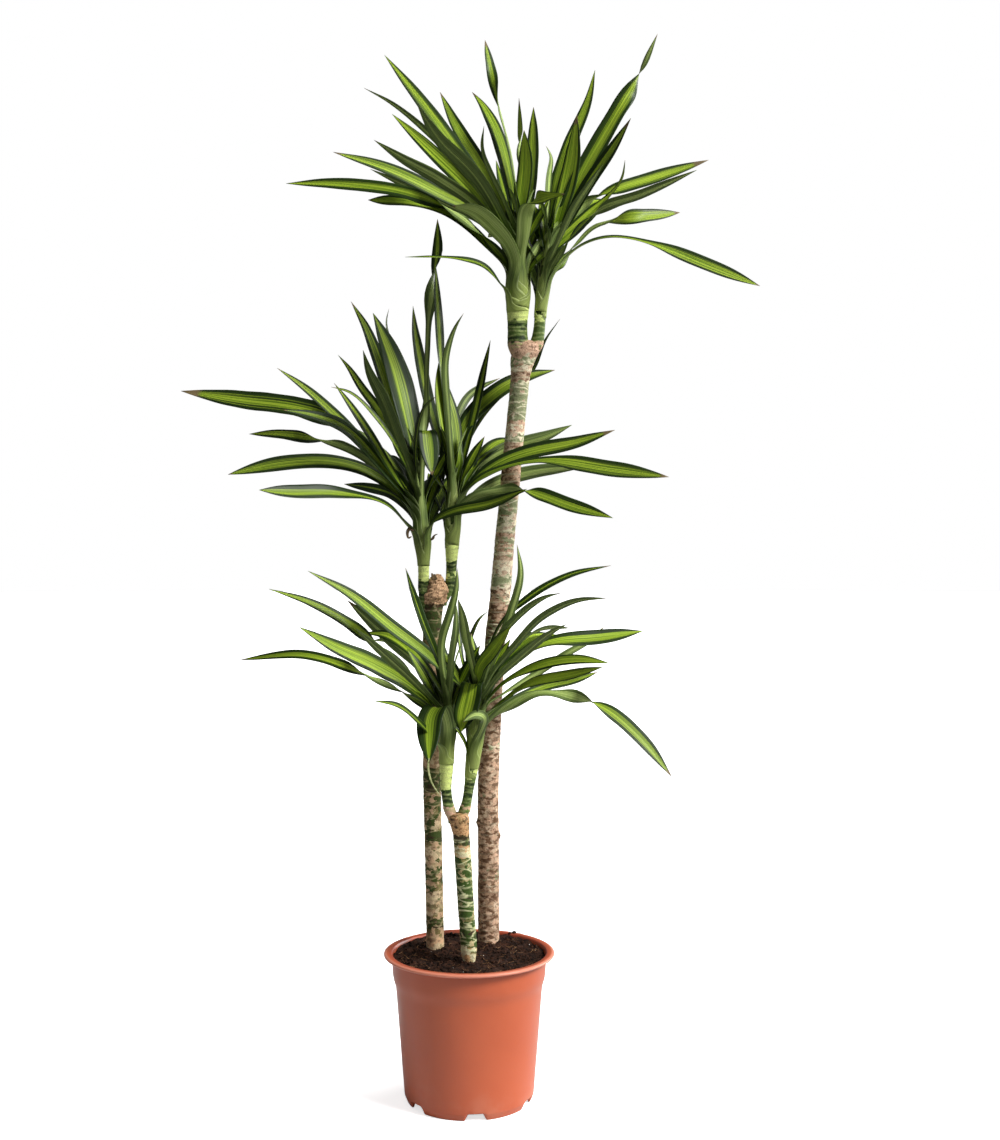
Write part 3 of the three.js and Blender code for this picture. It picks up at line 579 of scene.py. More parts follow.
def build_cane(name, seed):
    """The cane's rings with their relief, and the band, ring and callus numbers for its bark."""
    table = extended(STEMS[name]["table"], BURIED, 3.0)
    points, out, turn = level_rings(table, CANE_COLUMNS)
    seen = table[:, None, SEEN] + 0 * turn
    edge, crinkle = CALLUS[name]
    callus = 1 - smooth(edge - 5, edge + 4, seen)
    low, high = table[STUB_ROWS, Z] + SCARLESS["foot"], table[-1, Z] - SCARLESS["top"]
    heights = ring_heights(low, high, RING_GAP[name], seed)
    scars = scar_lines(points, turn, heights, seed + 1) * (1 - callus)
    lower, upper, least = RING_SHOWS[name]
    shown = lerp(1, least, smooth(upper, lower, seen))
    relief = SCAR["relief"] * scars
    for n, (mm, cell) in enumerate(SWELLS):
        relief += mm * noise(points, cell, seed + 2 + n)
    folds = np.abs(noise(points * (1, 1, 1.5), 7, seed + 4)) + 0.5 * np.abs(noise(points, 4, seed + 6))
    relief += callus * crinkle * (0.9 * noise(points, 9, seed + 5) - 1.5 * folds + 0.7)
    relief += bud_relief(name, points)
    points = points + (relief * (table[:, None, RADIUS] > 2))[..., None] * out
    ragged = sum(px * noise(points, cell, seed + 7 + n) for n, (px, cell) in enumerate(RAGGED))
    fields = {label: band_mask(bands, seen, ragged) for label, bands in BANDS[name].items()}
    fields |= {"scar": scars * shown, "callus": callus, "lime": 0 * seen}
    return tubes(f"cane_{name}_bark", points[None], fields)


canes = {name: build_cane(name, 10 * n + 11) for n, name in enumerate(STEMS)}

# %% [markdown]
# ## The bare part of each shoot
# Below the leaves a shoot shows its own green stem with close scar rings, and a pale lime band where the
# lowest sheath was shaded until lately. Above the band the stem thins out, because the sheaths wrapped
# round it make up the measured width.

# %% Build the shoots' stems
CORE = 0.6  # of the measured radius, under the sheaths
SHOOT_COLUMNS = 36
SHOOT_ROWS = 190
SHOOT_RING_GAP = (4.5, 8.5)  # mm
SHOOT_RELIEF = {"scar": 0.3, "swell": 0.15, "cell": 6}  # mm


def build_shoots(name, seed):
    """Both shoots of a cane as two tubes of equal size in one object."""
    rings, fields = [], []
    for n, side in enumerate(("left", "right")):
        shoot = STEMS[name][side]
        table = walk(extended(shoot["table"], 4, 2.0), np.linspace(0, 1, SHOOT_ROWS))
        bare = stem_at(shoot["table"], shoot["bare"], SEEN)[Z]
        table[:, RADIUS] *= lerp(1, CORE, smooth(bare - 2, bare + 10, table[:, Z]))
        points, out, turn = level_rings(table, SHOOT_COLUMNS)
        seen = table[:, None, SEEN] + 0 * turn
        heights = ring_heights(table[0, Z] + 6, bare + 4, SHOOT_RING_GAP, seed + n)
        scars = scar_lines(points, turn, heights, seed + n + 3)
        relief = SHOOT_RELIEF["scar"] * scars
        relief += SHOOT_RELIEF["swell"] * noise(points, SHOOT_RELIEF["cell"], seed + n)
        rings.append(points + relief[..., None] * out)
        ragged = 1.1 * noise(points, 7, seed + 5) + 0.7 * np.sin(turn + 1.3 * n)
        bands = SHOOT_BANDS[name, side]
        parts = {label: band_mask(bands[label], seen, ragged) for label in bands}
        parts |= {"scar": scars, "green": 1 + 0 * seen, "pale": 0 * seen, "callus": 0 * seen}
        fields.append(parts)
    return tubes(f"shoots_{name}", np.stack(rings), stacked(fields))


shoots = {name: build_shoots(name, 20 * n + 51) for n, name in enumerate(STEMS)}

# %% [markdown]
# ## Leaves: what was measured
# Leaves scattered by a rule look like a plant, but not like this one, so each leaf that the view shows was
# measured. One row is one leaf: the shoot it grows from, the picture height of its root, its broadest seen
# width in pixels, the face that shows, how many mm back its tip lies, the lime share of its width, and the
# points of its midrib out to the tip. The blade turns about its midrib until the upper or under face shows,
# and a free one hangs as it grows.

# %% Measured leaves
UPPER, UNDER, FREE = 1, -1, 0
LEAVES = {
    "tall": [
        ("left", 250, 13, UPPER, 90, 0.55, [(482, 185), (455, 147), (420, 100), (384.5, 55)]),
        ("left", 262, 6, UNDER, -150, 0.3, [(478, 190), (440, 145), (395, 105.5), (364, 88)]),
        ("left", 266, 14, UPPER, 160, 0.75, [(480, 202), (425, 145), (392, 114)]),
        ("left", 272, 12, UNDER, -140, 0.4, [(482, 212), (438, 179), (404, 160), (374, 140)]),
        ("left", 275, 12.5, UPPER, -60, 0.7, [(482, 218), (440, 194), (388, 169), (333, 152)]),
        ("left", 270, 8, UNDER, 150, 0.15, [(485, 225), (445, 204), (400, 183), (370, 169)]),
        ("left", 285, 11.5, UPPER, 60, 0.5, [(497, 252), (455, 212), (405, 192.5), (340, 184), (286, 183.5)]),
        ("left", 290, 10.5, UPPER, 50, 0.6, [(497, 257), (455, 217), (405, 202), (368, 200)]),
        ("left", 282, 16, UNDER, -90, 1.0, [(510, 249), (494, 228), (474, 211), (452, 206)]),
        ("left", 245, 13, UPPER, 150, 0.6, [(484, 172), (457, 127), (440, 92)]),
        ("left", 255, 14, UNDER, -185, 0.1, [(478, 180), (437, 137), (417, 104)]),
        ("left", 240, 13, UPPER, 120, 0.6, [(508, 178), (497, 135), (483, 106), (472, 92)]),
        ("left", 235, 8.5, UPPER, 110, 0.45, [(512.5, 160), (499.5, 108), (489, 60), (485, 40)]),
        ("left", 242, 4.5, UNDER, -180, 0.1, [(503, 200), (482, 150), (484, 126)]),
        ("left", 236, 6, UNDER, 130, 0.9, [(521.5, 165), (520.5, 128), (519, 98)]),
        ("left", 240, 12, UPPER, 180, 0.55, [(530, 200), (533, 150), (533.5, 107)]),
        ("left", 246, 14.5, UPPER, 45, 0.85, [(522, 205), (526, 165), (524, 130)]),
        ("left", 272, 15, UNDER, -110, 0.9, [(524, 238), (528, 207), (540, 197), (565, 194)]),
        ("left", 305, 5.5, UPPER, -120, 0.4, [(500, 284), (484, 266), (455, 258.5), (405, 257)]),
        ("left", 252, 8, UPPER, 185, 0.4, [(512, 225), (503, 190), (496, 160)]),
        ("left", 290, 12, UPPER, 50, 0.65, [(530, 262), (560, 222), (600, 196), (650, 179), (708.6, 160)]),
        ("left", 296, 12, UPPER, 20, 0.8, [(533, 266), (562, 240), (602, 203), (622, 180), (625, 160)]),
        ("right", 262, 6, UNDER, 60, 0.4, [(548, 215), (550, 172), (552, 157), (546, 146)]),
        ("right", 262, 13, UPPER, 150, 0.6, [(556, 190), (571, 143), (588, 102), (595, 70)]),
        ("right", 256, 17, UPPER, 50, 0.75, [(560, 215), (572, 165), (577, 115)]),
        ("right", 268, 17, UPPER, 60, 0.55, [(575, 190), (610, 125), (637, 78), (657.5, 34)]),
        ("right", 266, 12, UPPER, -120, 0.5, [(585, 190), (615, 145), (631, 118)]),
        ("right", 270, 7, UNDER, -170, 0.3, [(575, 207), (590, 184), (603, 164)]),
        ("right", 280, 9, UNDER, -150, 0.35, [(570, 238), (600, 209), (640, 195), (697, 170)]),
        ("right", 285, 12, UPPER, 130, 0.85,
         [(570, 250), (592, 227), (617, 218.3), (650, 215.5), (680, 212.5)]),
        ("right", 290, 12, UPPER, -40, 0.65,
         [(575, 250), (608, 237.5), (650, 243.5), (705, 264), (760, 286)]),
    ],
    "middle": [
        ("left", 520, 18, UPPER, 60, 0.55, [(385, 462), (345, 424), (300, 408), (240, 400), (181, 391)]),
        ("left", 512, 10, UPPER, -140, 0.5, [(375, 455), (332, 412), (305, 388), (277, 368)]),
        ("left", 522, 12, UPPER, -185, 0.35, [(385, 470), (345, 428), (312, 415), (283, 410)]),
        ("left", 528, 9.5, UPPER, 170, 0.5, [(390, 478), (345, 446), (300, 436.5), (275, 434), (249, 434)]),
        ("left", 532, 14, UPPER, -70, 0.65, [(402, 500), (370, 473), (330, 462), (280, 464), (228, 474.5)]),
        ("left", 545, 13, UPPER, -150, 0.55, [(408, 527), (385, 504), (335, 492.5), (290, 492), (259, 490)]),
        ("left", 535, 10, UPPER, 185, 0.15, [(412, 515), (392, 495), (370, 488), (344, 484)]),
        ("left", 505, 9, UPPER, 170, 0.5, [(400, 450), (378, 410), (361, 387), (349, 368), (338, 355)]),
        ("left", 515, 8, UPPER, -170, 0.4, [(397, 480), (368, 432), (345, 398), (334, 383)]),
        ("left", 500, 4, UPPER, -195, 0.4, [(395, 445), (372, 413), (350, 392.5), (331, 387)]),
        ("left", 495, 12, UNDER, -120, 0.1, [(398, 440), (383, 400), (369, 372), (363, 350)]),
        ("left", 490, 12, UPPER, 130, 0.55, [(404, 440), (384, 378), (366, 328), (351, 301.5)]),
        ("left", 485, 23, UPPER, 90, 0.42, [(410, 430), (396, 370), (383, 335), (373, 313)]),
        ("left", 482, 4, UPPER, 190, 0.3, [(408, 420), (395, 360), (386, 322), (389, 309)]),
        ("left", 480, 11, UPPER, 120, 0.45,
         [(424, 430), (426, 360), (429, 312), (435, 270), (438, 250), (437.5, 219)]),
        ("left", 500, 3.5, UPPER, -110, 0.3, [(416, 450), (424, 408), (437, 396)]),
        ("left", 520, 23, FREE, -50, 0.5, [(422, 480), (423, 448), (426, 427), (429, 448), (432, 475)]),
        ("left", 542, 11, UPPER, -110, 0.5, [(436, 520), (455, 511), (490, 504), (527, 489)]),
        ("right", 490, 11, UPPER, 130, 0.5, [(440, 445), (428, 400), (420, 360), (415, 330), (413, 306)]),
        ("right", 480, 8, UPPER, 70, 0.4, [(443, 400), (440.5, 358), (439, 325), (437, 295), (435.5, 264)]),
        ("right", 478, 7, UNDER, -140, 0.3, [(449, 420), (446, 360), (455, 328), (463.5, 313.5)]),
        ("right", 505, 8, UPPER, 80, 0.4, [(462, 465), (475, 412), (484, 370), (490.5, 340)]),
        ("right", 495, 21, UPPER, 40, 1.0, [(452, 455), (448, 420), (441, 385), (438.5, 363)]),
        ("right", 490, 8, UNDER, 185, 0.3, [(456, 425), (470, 395), (500, 378)]),
        ("right", 498, 16, UPPER, 110, 0.6, [(466, 425), (497, 392), (525, 377), (555, 370)]),
        ("right", 510, 13, UNDER, 150, 0.4, [(475, 470), (505, 450), (545, 437), (572, 425)]),
        ("right", 512, 14, UPPER, -20, 0.6, [(475, 481), (500, 463), (530, 452), (575, 443), (615, 430)]),
        ("right", 516, 15, UPPER, -75, 0.65, [(472, 486), (500, 470), (545, 461), (612, 469.5), (669, 477)]),
        ("right", 520, 13, UNDER, 140, 0.4, [(470, 500), (495, 484), (521, 475), (550, 470), (582, 468)]),
        ("right", 522, 13, UPPER, -125, 0.55,
         [(470, 500), (490, 492.5), (525, 490.5), (572, 506), (613, 518)]),
        ("right", 505, 4, UPPER, 180, 0.2, [(470, 440), (497, 400), (532, 372), (545, 341), (560, 319)]),
    ],
    "short": [
        ("left", 728, 9, UPPER, 140, 0.5, [(420, 702), (385, 683), (340, 664), (300, 654.5), (239, 660)]),
        ("left", 722, 10, UPPER, -60, 0.55, [(418, 681), (395, 659), (350, 624.5), (310, 602.5), (269, 589)]),
        ("left", 728, 17, UPPER, -150, 0.65, [(415, 690), (375, 665), (335, 647), (299, 627)]),
        ("right", 702, 13, UPPER, -90, 0.5, [(455, 683), (428, 655), (394, 629), (350, 594), (308, 571)]),
        ("left", 712, 13, UNDER, 140, 0.15, [(425, 672), (400, 648), (375, 626), (347, 600)]),
        ("left", 718, 9, UNDER, -150, 0.15, [(412, 680), (385, 655), (355, 628)]),
        ("left", 755, 5, UPPER, -190, 0.3, [(421, 724.5), (398, 706), (373.5, 701)]),
        ("left", 745, 26, FREE, -105, 0.42, [(446, 722), (438, 706), (430.5, 717), (429, 738), (429, 763)]),
        ("left", 702, 8, UPPER, -150, 0.1, [(440, 665), (424, 625), (412, 590), (405.5, 568)]),
        ("left", 705, 8, UNDER, -160, 0.3, [(442, 645), (452, 608), (457, 585), (457, 568)]),
        ("left", 696, 7, UNDER, -200, 0.1, [(452, 660), (456, 630), (456, 603)]),
        ("right", 690, 9, UNDER, -190, 0.4, [(467, 645), (462, 615), (458, 598.5)]),
        ("right", 692, 4, UPPER, 150, 0.4, [(463, 665), (458, 630), (454, 603)]),
        ("right", 695, 4, UPPER, 60, 0.2, [(468, 655), (474, 630), (481, 616.5), (489, 611)]),
        ("right", 695, 8, UNDER, -130, 0.4, [(498, 650), (512, 610), (521, 575), (517, 544.5)]),
        ("right", 692, 7, UPPER, -20, 0.1, [(500, 626), (530, 597), (570, 575), (611, 565.5)]),
        ("right", 697, 7, UNDER, -170, 0.1, [(500, 638), (522, 613), (545, 597), (562, 593)]),
        ("right", 700, 7, UNDER, -120, 0.1, [(495, 670), (515, 646), (540, 619), (575, 601), (609, 598)]),
        ("right", 706, 8, UNDER, -200, 0.1, [(498, 678), (522, 656), (548, 634.5), (567, 624)]),
        ("right", 708, 14.5, UPPER, 70, 0.6, [(503, 670), (545, 644), (600, 637.5), (643, 631)]),
        ("right", 710, 7, UNDER, 120, 0.6, [(540, 672), (570, 652), (590, 641), (605, 625.5)]),
        ("right", 716, 10, UPPER, -100, 0.7, [(500, 687), (535, 667), (575, 659.5), (609, 663)]),
        ("right", 722, 10, UPPER, -150, 0.75, [(503, 702), (530, 683.5), (570, 675), (603, 667)]),
        ("right", 727, 9, UPPER, 110, 0.6, [(505, 705), (545, 687), (575, 680), (598, 672)]),
        ("right", 732, 12.5, UPPER, -60, 0.5, [(508, 707), (540, 691.5), (600, 706), (640, 738), (672, 777)]),
        ("right", 698, 13, UPPER, -150, 0.9, [(480, 668), (492, 652), (511, 626)]),
        ("right", 714, 27, FREE, -60, 0.6, [(475, 694), (473, 681), (470, 697), (466, 713), (461, 732)]),
        ("right", 745, 9, UNDER, -80, 0.25, [(485, 717), (475, 714), (463, 722)]),
        ("right", 768, 3, UPPER, -20, 0.3, [(462, 737), (447, 719)]),
    ],
}

# %% [markdown]
# ## Leaves that differ
# Some blades turn right over on their way: they are seen edge on for a moment, and beyond it the other face
# shows. Others are broadest at an unusual place, lie nearly edge on for a stretch, or leave the head
# narrower than usual. Those leaves are named here by their tips, with shares of the blade's length.

# %% Blades that turn over, and other exceptions
# {tip: where it turns}, and a negative place turns the other way round
TURNS_OVER = {
    (657.5, 34): 0.79, (485, 40): 0.74, (708.6, 160): 0.48, (437.5, 219): 0.735, (519, 98): 0.6,
    (697, 170): 0.45, (680, 212.5): -0.65, (286, 183.5): 0.42, (181, 391): 0.45, (338, 355): 0.45,
    (249, 434): 0.68, (613, 518): 0.44, (269, 589): 0.5, (672, 777): 0.5, (239, 660): 0.44, (565, 194): 0.7,
}
# {tip: broadest place}
BROADEST = {
    (437.5, 219): 0.84, (485, 40): 0.86, (680, 212.5): 0.78, (760, 286): 0.78, (228, 474.5): 0.74,
    (259, 490): 0.78, (286, 183.5): 0.7, (181, 391): 0.7, (239, 660): 0.66, (672, 777): 0.76,
    (613, 518): 0.72, (669, 477): 0.74, (368, 200): 0.88, (565, 194): 0.45, (708.6, 160): 0.72,
    (643, 631): 0.74, (249, 434): 0.8, (657.5, 34): 0.46, (595, 70): 0.5, (577, 115): 0.5, (392, 114): 0.55,
    (373, 313): 0.5, (438.5, 363): 0.5, (308, 571): 0.5, (299, 627): 0.52, (461, 732): 0.72, (432, 475): 0.74,
    (429, 763): 0.6, (435.5, 264): 0.72, (603, 667): 0.7, (609, 663): 0.7, (598, 672): 0.7,
}
# {tip: (from, to, share of the width that shows)}
EDGE_ON = {
    (485, 40): (0.2, 0.7, 0.25), (680, 212.5): (0.22, 0.66, 0.35), (760, 286): (0.12, 0.56, 0.22),
    (259, 490): (0.12, 0.5, 0.4), (669, 477): (0.25, 0.52, 0.35), (611, 565.5): (0.1, 0.45, 0.45),
    (405, 257): (0.55, 1.0, 0.4), (672, 777): (0.1, 0.46, 0.55), (437.5, 219): (0.1, 0.68, 0.5),
    (435.5, 264): (0.1, 0.52, 0.3), (277, 368): (0.15, 0.5, 0.5), (643, 631): (0.28, 0.52, 0.5),
    (603, 667): (0.22, 0.46, 0.5), (609, 663): (0.2, 0.42, 0.5), (519, 98): (0.1, 0.62, 0.4),
    (368, 200): (0.56, 0.8, 0.6), (625, 160): (0.68, 1.0, 0.35),
}
# {tip: (width of the neck as a share, where it starts to widen)}
NARROW = {(432, 475): (0.25, 0.5)}

# %% [markdown]
# ## Leaves that the view doesn't show
# The far side of each head is filled by a rule: a leaf for each of a few turns away from straight back,
# which rises backwards and arches over. Two more cross behind the shoots, and young leaves fill each heart.

# %% Far leaves
FAR = {
    "tall": {"turns": [4, 15, 27, 38], "rise": 0.55},
    "middle": {"turns": [4, 15, 27, 36], "rise": 0.4},
    "short": {"turns": [-9, 42, 50], "rise": 0.34},
}
# Lengths are in mm and angles in degrees; least is the rise of a leaf that goes straight back
FAR_LEAF = {"length": 270, "reach": 0.64, "least": 0.34, "widest": 50, "arch": 0.5, "width": 23}
CROSSING = {"behind": 88, "above": 62, "beyond": 1.05, "drop": 20}
CORE_LEAF = {"count": 7, "length": (70, 125), "lean": (5, 24), "width": 20, "arch": 0.16, "golden": 137.5}
BLADE = {
    "least": 15,
    "facing": 0.84,  # of a blade's full width that the viewer sees, where it is broadest
    "sheath": 0.9,
    "petiole": 0.72,
    "neck": 0.2,
    "broadest": 0.6,
    "spare": 1.08,  # width added to a seen one
    "turning": 0.15,  # of the length, each way, that a blade takes to turn over
    "fold_foot": 28,
    "fold_tip": 10,
    "twist_to": 0.34,
    "far_twist": (0.3, 0.66),
}


def far_midrib(shoot, side, outwards, rise):
    """A far leaf's midrib: out by u, and up by a line less a parabola, turned by outwards from straight
    back."""
    f = FAR_LEAF
    share = abs(outwards) / f["widest"]
    root = stem_at(shoot["table"], 0.5 + 0.3 * share, ORDER)[:3]
    aside = math.radians(outwards) * side
    end = lerp(f["least"], rise, share)
    u = np.array([0, 0.3, 0.65, 1])
    out = f["length"] * f["reach"] * u
    up = f["length"] * ((end + f["arch"]) * u - f["arch"] * u * u)
    return root + np.stack([out * math.sin(aside), out * math.cos(aside), up], -1)


def core_midribs(shoot):
    """Young leaves at a shoot's heart: golden angles apart, in the far half, steeper and shorter inwards."""
    c = CORE_LEAF
    lines = []
    for n in range(c["count"]):
        inner = n / (c["count"] - 1)
        root = stem_at(shoot["table"], lerp(0.62, 0.9, inner), ORDER)[:3]
        turn = math.radians(c["golden"] * n + 60)
        lean = math.radians(lerp(c["lean"][1], c["lean"][0], inner))
        length = lerp(c["length"][1], c["length"][0], inner)
        u = np.linspace(0, 1, 4)
        out = length * (u * math.sin(lean) + c["arch"] * u * u)
        heading = np.array([math.cos(turn), abs(math.sin(turn)), 0])
        lines.append(root + out[:, None] * heading + (length * u * math.cos(lean))[:, None] * (0, 0, 1))
    return lines


def crossing_midribs(stem):
    """The midribs of the two leaves that cross behind and above the two shoots."""
    roots = [stem_at(stem[side]["table"], 0.55, ORDER)[:3] for side in ("left", "right")]
    meet = (roots[0] + roots[1]) / 2 + (0, CROSSING["behind"], CROSSING["above"])
    tips = [meet + CROSSING["beyond"] * (meet - root) - (0, 0, CROSSING["drop"]) for root in roots]
    return [np.array([root, meet, tip]) for root, tip in zip(roots, tips)]


# %% [markdown]
# ## One leaf as a surface
# A leaf is a sheath that wraps its stem and a blade that leaves it. A flat strip bent by a Curve modifier
# would make the blade, but not the sheath. Here both are one strip: a path, a direction across it, and a
# cross-section that starts as an arc of the stem's girth and opens into a shallow V. The path first climbs
# the stem's surface and then follows the measured midrib. The blade turns about its midrib until it shows
# the viewer the measured width of the measured face.

# %% The leaf's path
LEAF_ROWS = 60
HALF_COLUMNS = 11
PATH_STEP = 2.0  # mm
PATH_EASING = 26  # passes that take out its kinks
ROOT_BUNCHING = 0.45  # how much closer the rows lie near the stem
NEST = 0.36  # how far inwards the innermost sheath lies, as a share of the stem's radius
CLEARANCE = 0.3  # mm between a sheath and its stem
SHEATH = {"least": 12, "most": (30, 50)}  # mm
WIDEST_CURL = 2.6  # radians, each way, that a sheath wraps round its stem
# A sheath opens by mm away from the stem, by mm below and above its top, and by a share of the blade
OPENS = {"away": 14, "below": 25, "above": 20, "blade": (0.08, 0.3)}
WAVE = {"height": (0.3, 0.9), "length": (7, 13)}  # mm, of the ripples along a blade's margins
ZONES = {"sheath": (0.0, 0.16), "young": (0.08, 0.62), "foot": (3, 48)}  # shares of the blade, and mm
THICKNESS = {"foot": 0.95, "tip": 0.4, "edge": 0.45}  # mm, and the share that is lost at the margins


def leaf_path(shoot, midrib, sheath, outward, snug):
    """Points every 2 mm: up the stem's surface for the sheath's length, then along the midrib, pushed
    outwards wherever it would still lie inside the stem, and softened."""
    table = shoot["table"]
    top = table[-1, Z]

    def skin(z):
        row = stem_at(table, z)
        return row[..., :3], row[..., RADIUS] * snug + CLEARANCE

    climb = np.linspace(midrib[0, 2] - sheath, midrib[0, 2], 20)[:-1]
    centre, radius = skin(climb)
    stem_part = np.column_stack([centre[:, :2] + radius[:, None] * outward[:2], climb])
    centre, radius = skin(midrib[:, 2])
    reach = (midrib[:, :2] - centre[:, :2]) @ outward[:2]
    wanted = radius * (1 - smooth(top - 6, top + 12, midrib[:, 2]))
    blade_part = midrib + np.maximum(wanted - reach, 0)[:, None] * outward
    line = np.vstack([stem_part, blade_part])
    line = walk(line, np.linspace(0, 1, int(along(line)[-1] / PATH_STEP) + 2))
    return softened(line, PATH_EASING)


def blade_share(u, broadest, petiole, start):
    """Half-width along the blade as a share: a clasp that narrows to a petiole, a long swell and a pointed
    tip."""
    b = BLADE
    clasp = (b["sheath"] - petiole) * (1 - smooth(0, b["neck"], u))
    body = petiole + (1 - petiole) * smooth(start, broadest, u)
    beyond = np.maximum(0, (u - broadest) / (1 - broadest))
    return (clasp + body) * np.maximum(1 - beyond**2.2, 0.012)


def facing_turn(line, tangent, level, up, share, face):
    """The turn about the midrib, row by row, that shows a face to the viewer at a share of its full width:
    the line across the blade is that share of the line across the view, and the rest of it points into
    depth."""
    across = unit(np.cross(tangent, unit(line - EYE)))
    deep = np.cross(tangent, across)
    at = int(BLADE["broadest"] * len(line))
    turns = []
    for sign in (-1, 1):
        wanted = face * (across * share[:, None] + sign * deep * np.sqrt(1 - share[:, None] ** 2))
        turn = np.unwrap(np.arctan2((wanted * up).sum(1), (wanted * level).sum(1)))
        turns.append(turn - 2 * math.pi * round(turn[at] / (2 * math.pi)))
    best = min(turns, key=lambda turn: abs(turn[at]))
    return softened(best[:, None], 12)[:, 0]


def seen_share(u, tip):
    """How much of its full width a blade shows along its length, less in the stretches that are edge on."""
    share = BLADE["facing"] + 0 * u
    if tip in EDGE_ON:
        start, end, least = EDGE_ON[tip]
        there = smooth(start - 0.07, start + 0.05, u) * (1 - smooth(end - 0.05, end + 0.07, u))
        share = lerp(share, share * least, there)
    return share


# %% The leaf's surface
def shell(middle, thickness):
    """Rings of a thin closed sheet: the middle surface moved half its thickness along its normal, both
    ways."""
    normal = unit(np.cross(np.gradient(middle, axis=0), np.gradient(middle, axis=1)))
    half = normal * thickness[..., None] / 2
    return np.concatenate([(middle + half)[:, ::-1], middle - half], axis=1)


def blade_turn(leaf, line, tangent, level, up, u):
    """The turn about the midrib: what shows the measured face, with half a turn more past a turn-over."""
    if not leaf["face"]:
        return leaf["twist"] * smooth(*BLADE["far_twist"], u)
    share = leaf["narrow"] * seen_share(u, leaf["tip"])
    turn = facing_turn(line, tangent, level, up, share, leaf["face"])
    over = TURNS_OVER.get(leaf["tip"])
    if over:
        turned = smooth(abs(over) - BLADE["turning"], abs(over) + BLADE["turning"], u)
        turn = turn + math.copysign(math.pi, over) * (turned - (abs(over) < leaf["broadest"]))
    return turn * smooth(0, BLADE["twist_to"], u)


def leaf_section(shoot, leaf, line, u, v, outward):
    """Row by row: the angle that the strip wraps round the stem, its half-width, and the fold of its open
    V."""
    row = stem_at(shoot["table"], line[:, 2])
    radius = row[:, RADIUS] * leaf["snug"] + CLEARANCE
    left_stem = ((line[:, :2] - row[:, :2]) @ outward[:2] - radius) / OPENS["away"]
    top = shoot["table"][-1, Z]
    above = smooth(top - OPENS["below"], top + OPENS["above"], line[:, 2])
    opened = np.maximum.reduce([smooth(0.05, 1, left_stem), above, smooth(*OPENS["blade"], u)])
    petiole = NARROW.get(leaf["tip"], (BLADE["petiole"], BLADE["neck"] / 2))
    half = leaf["width"] / 2 * blade_share(u, leaf["broadest"], *petiole)
    half = np.maximum(half, 2.5 * radius * (1 - smooth(0, 1, v)) * (1 - smooth(0.02, 0.3, opened)))
    curl = np.clip((1 - opened) * half / np.maximum(radius, 2), 1e-3, WIDEST_CURL)
    half = np.where(opened < 0.02, np.minimum(half, curl * radius), half)
    curl, half = softened(np.column_stack([curl, half]), 5).T
    fold = np.radians(lerp(BLADE["fold_foot"], BLADE["fold_tip"], smooth(0, BLADE["broadest"], u))) * opened
    return curl[:, None], half[:, None], fold[:, None]


def leaf_surface(shoot, leaf, draw):
    """A leaf's rings and its numbers. Each row is an arc round the stem plus an open V, set on its path,
    with ripples along the margins, and a closed sheet is laid round it."""
    midrib = spline(leaf["midrib"], 120)
    outward = unit((midrib[-1] - midrib[0]) * (1, 1, 0))
    side = np.cross((0, 0, 1.0), outward)
    bare = stem_at(shoot["table"], shoot["bare"], SEEN)[Z]
    sheath = float(np.clip(midrib[0, 2] - bare, SHEATH["least"], draw.uniform(*SHEATH["most"])))
    line = leaf_path(shoot, midrib, sheath, outward, leaf["snug"])
    length = along(line)[-1]
    t = np.linspace(0, 1, LEAF_ROWS)
    line = walk(line, (1 - ROOT_BUNCHING) * t + ROOT_BUNCHING * t * t)
    gone = along(line)
    u = np.clip((gone - sheath) / (length - sheath), 0, 1)
    tangent = unit(np.gradient(line, axis=0))
    level = unit(side - (tangent @ side)[:, None] * tangent)
    up = np.cross(tangent, level)
    turn = blade_turn(leaf, line, tangent, level, up, u)[:, None]
    across = level * np.cos(turn) + up * np.sin(turn)
    normal = np.cross(tangent, across)
    curl, half, fold = leaf_section(shoot, leaf, line, u, np.clip(gone / sheath, 0, 1), outward)

    w = np.linspace(-1, 1, HALF_COLUMNS)
    bend = np.sqrt(w**2 + 0.03) - math.sqrt(0.03)
    height = draw.uniform(*WAVE["height"])
    phase = gone / draw.uniform(*WAVE["length"]) + draw.uniform(0, 6)
    wave = height * np.sin(phase + np.sign(w)[:, None] * 0.9).T
    x = np.sin(w * curl) / curl * np.cos(fold) * half
    n = ((1 - np.cos(w * curl)) / curl + bend * np.sin(fold)) * half
    n = n + wave * w**2 * smooth(0.2, 0.5, u)[:, None] * (half / half.max())
    middle = line[:, None] + across[:, None] * x[..., None] + normal[:, None] * n[..., None]
    thickness = lerp(THICKNESS["foot"], THICKNESS["tip"], u)[:, None] * (1 - THICKNESS["edge"] * w**2)

    ones = np.ones((LEAF_ROWS, 2 * HALF_COLUMNS))
    by_row = {
        "length": gone / 100,
        "sheath": 1 - smooth(*ZONES["sheath"], u),
        "young": 1 - smooth(*ZONES["young"], u),
        "foot": 1 - smooth(*ZONES["foot"], gone),
        "tip": smooth(1 - leaf["dry"], 1.0, u) if leaf["dry"] > 0 else 0 * u,
    }
    fields = {label: values[:, None] * ones for label, values in by_row.items()}
    per_leaf = {"shade": leaf["shade"], "stripe": leaf["stripe"], "tone": draw.uniform(0, 1)}
    fields |= {label: value * ones for label, value in per_leaf.items()}
    fields |= {"across": ones * np.concatenate([w[::-1], w]), "under": ones * np.repeat([0, 1], HALF_COLUMNS)}
    return shell(middle, thickness), fields
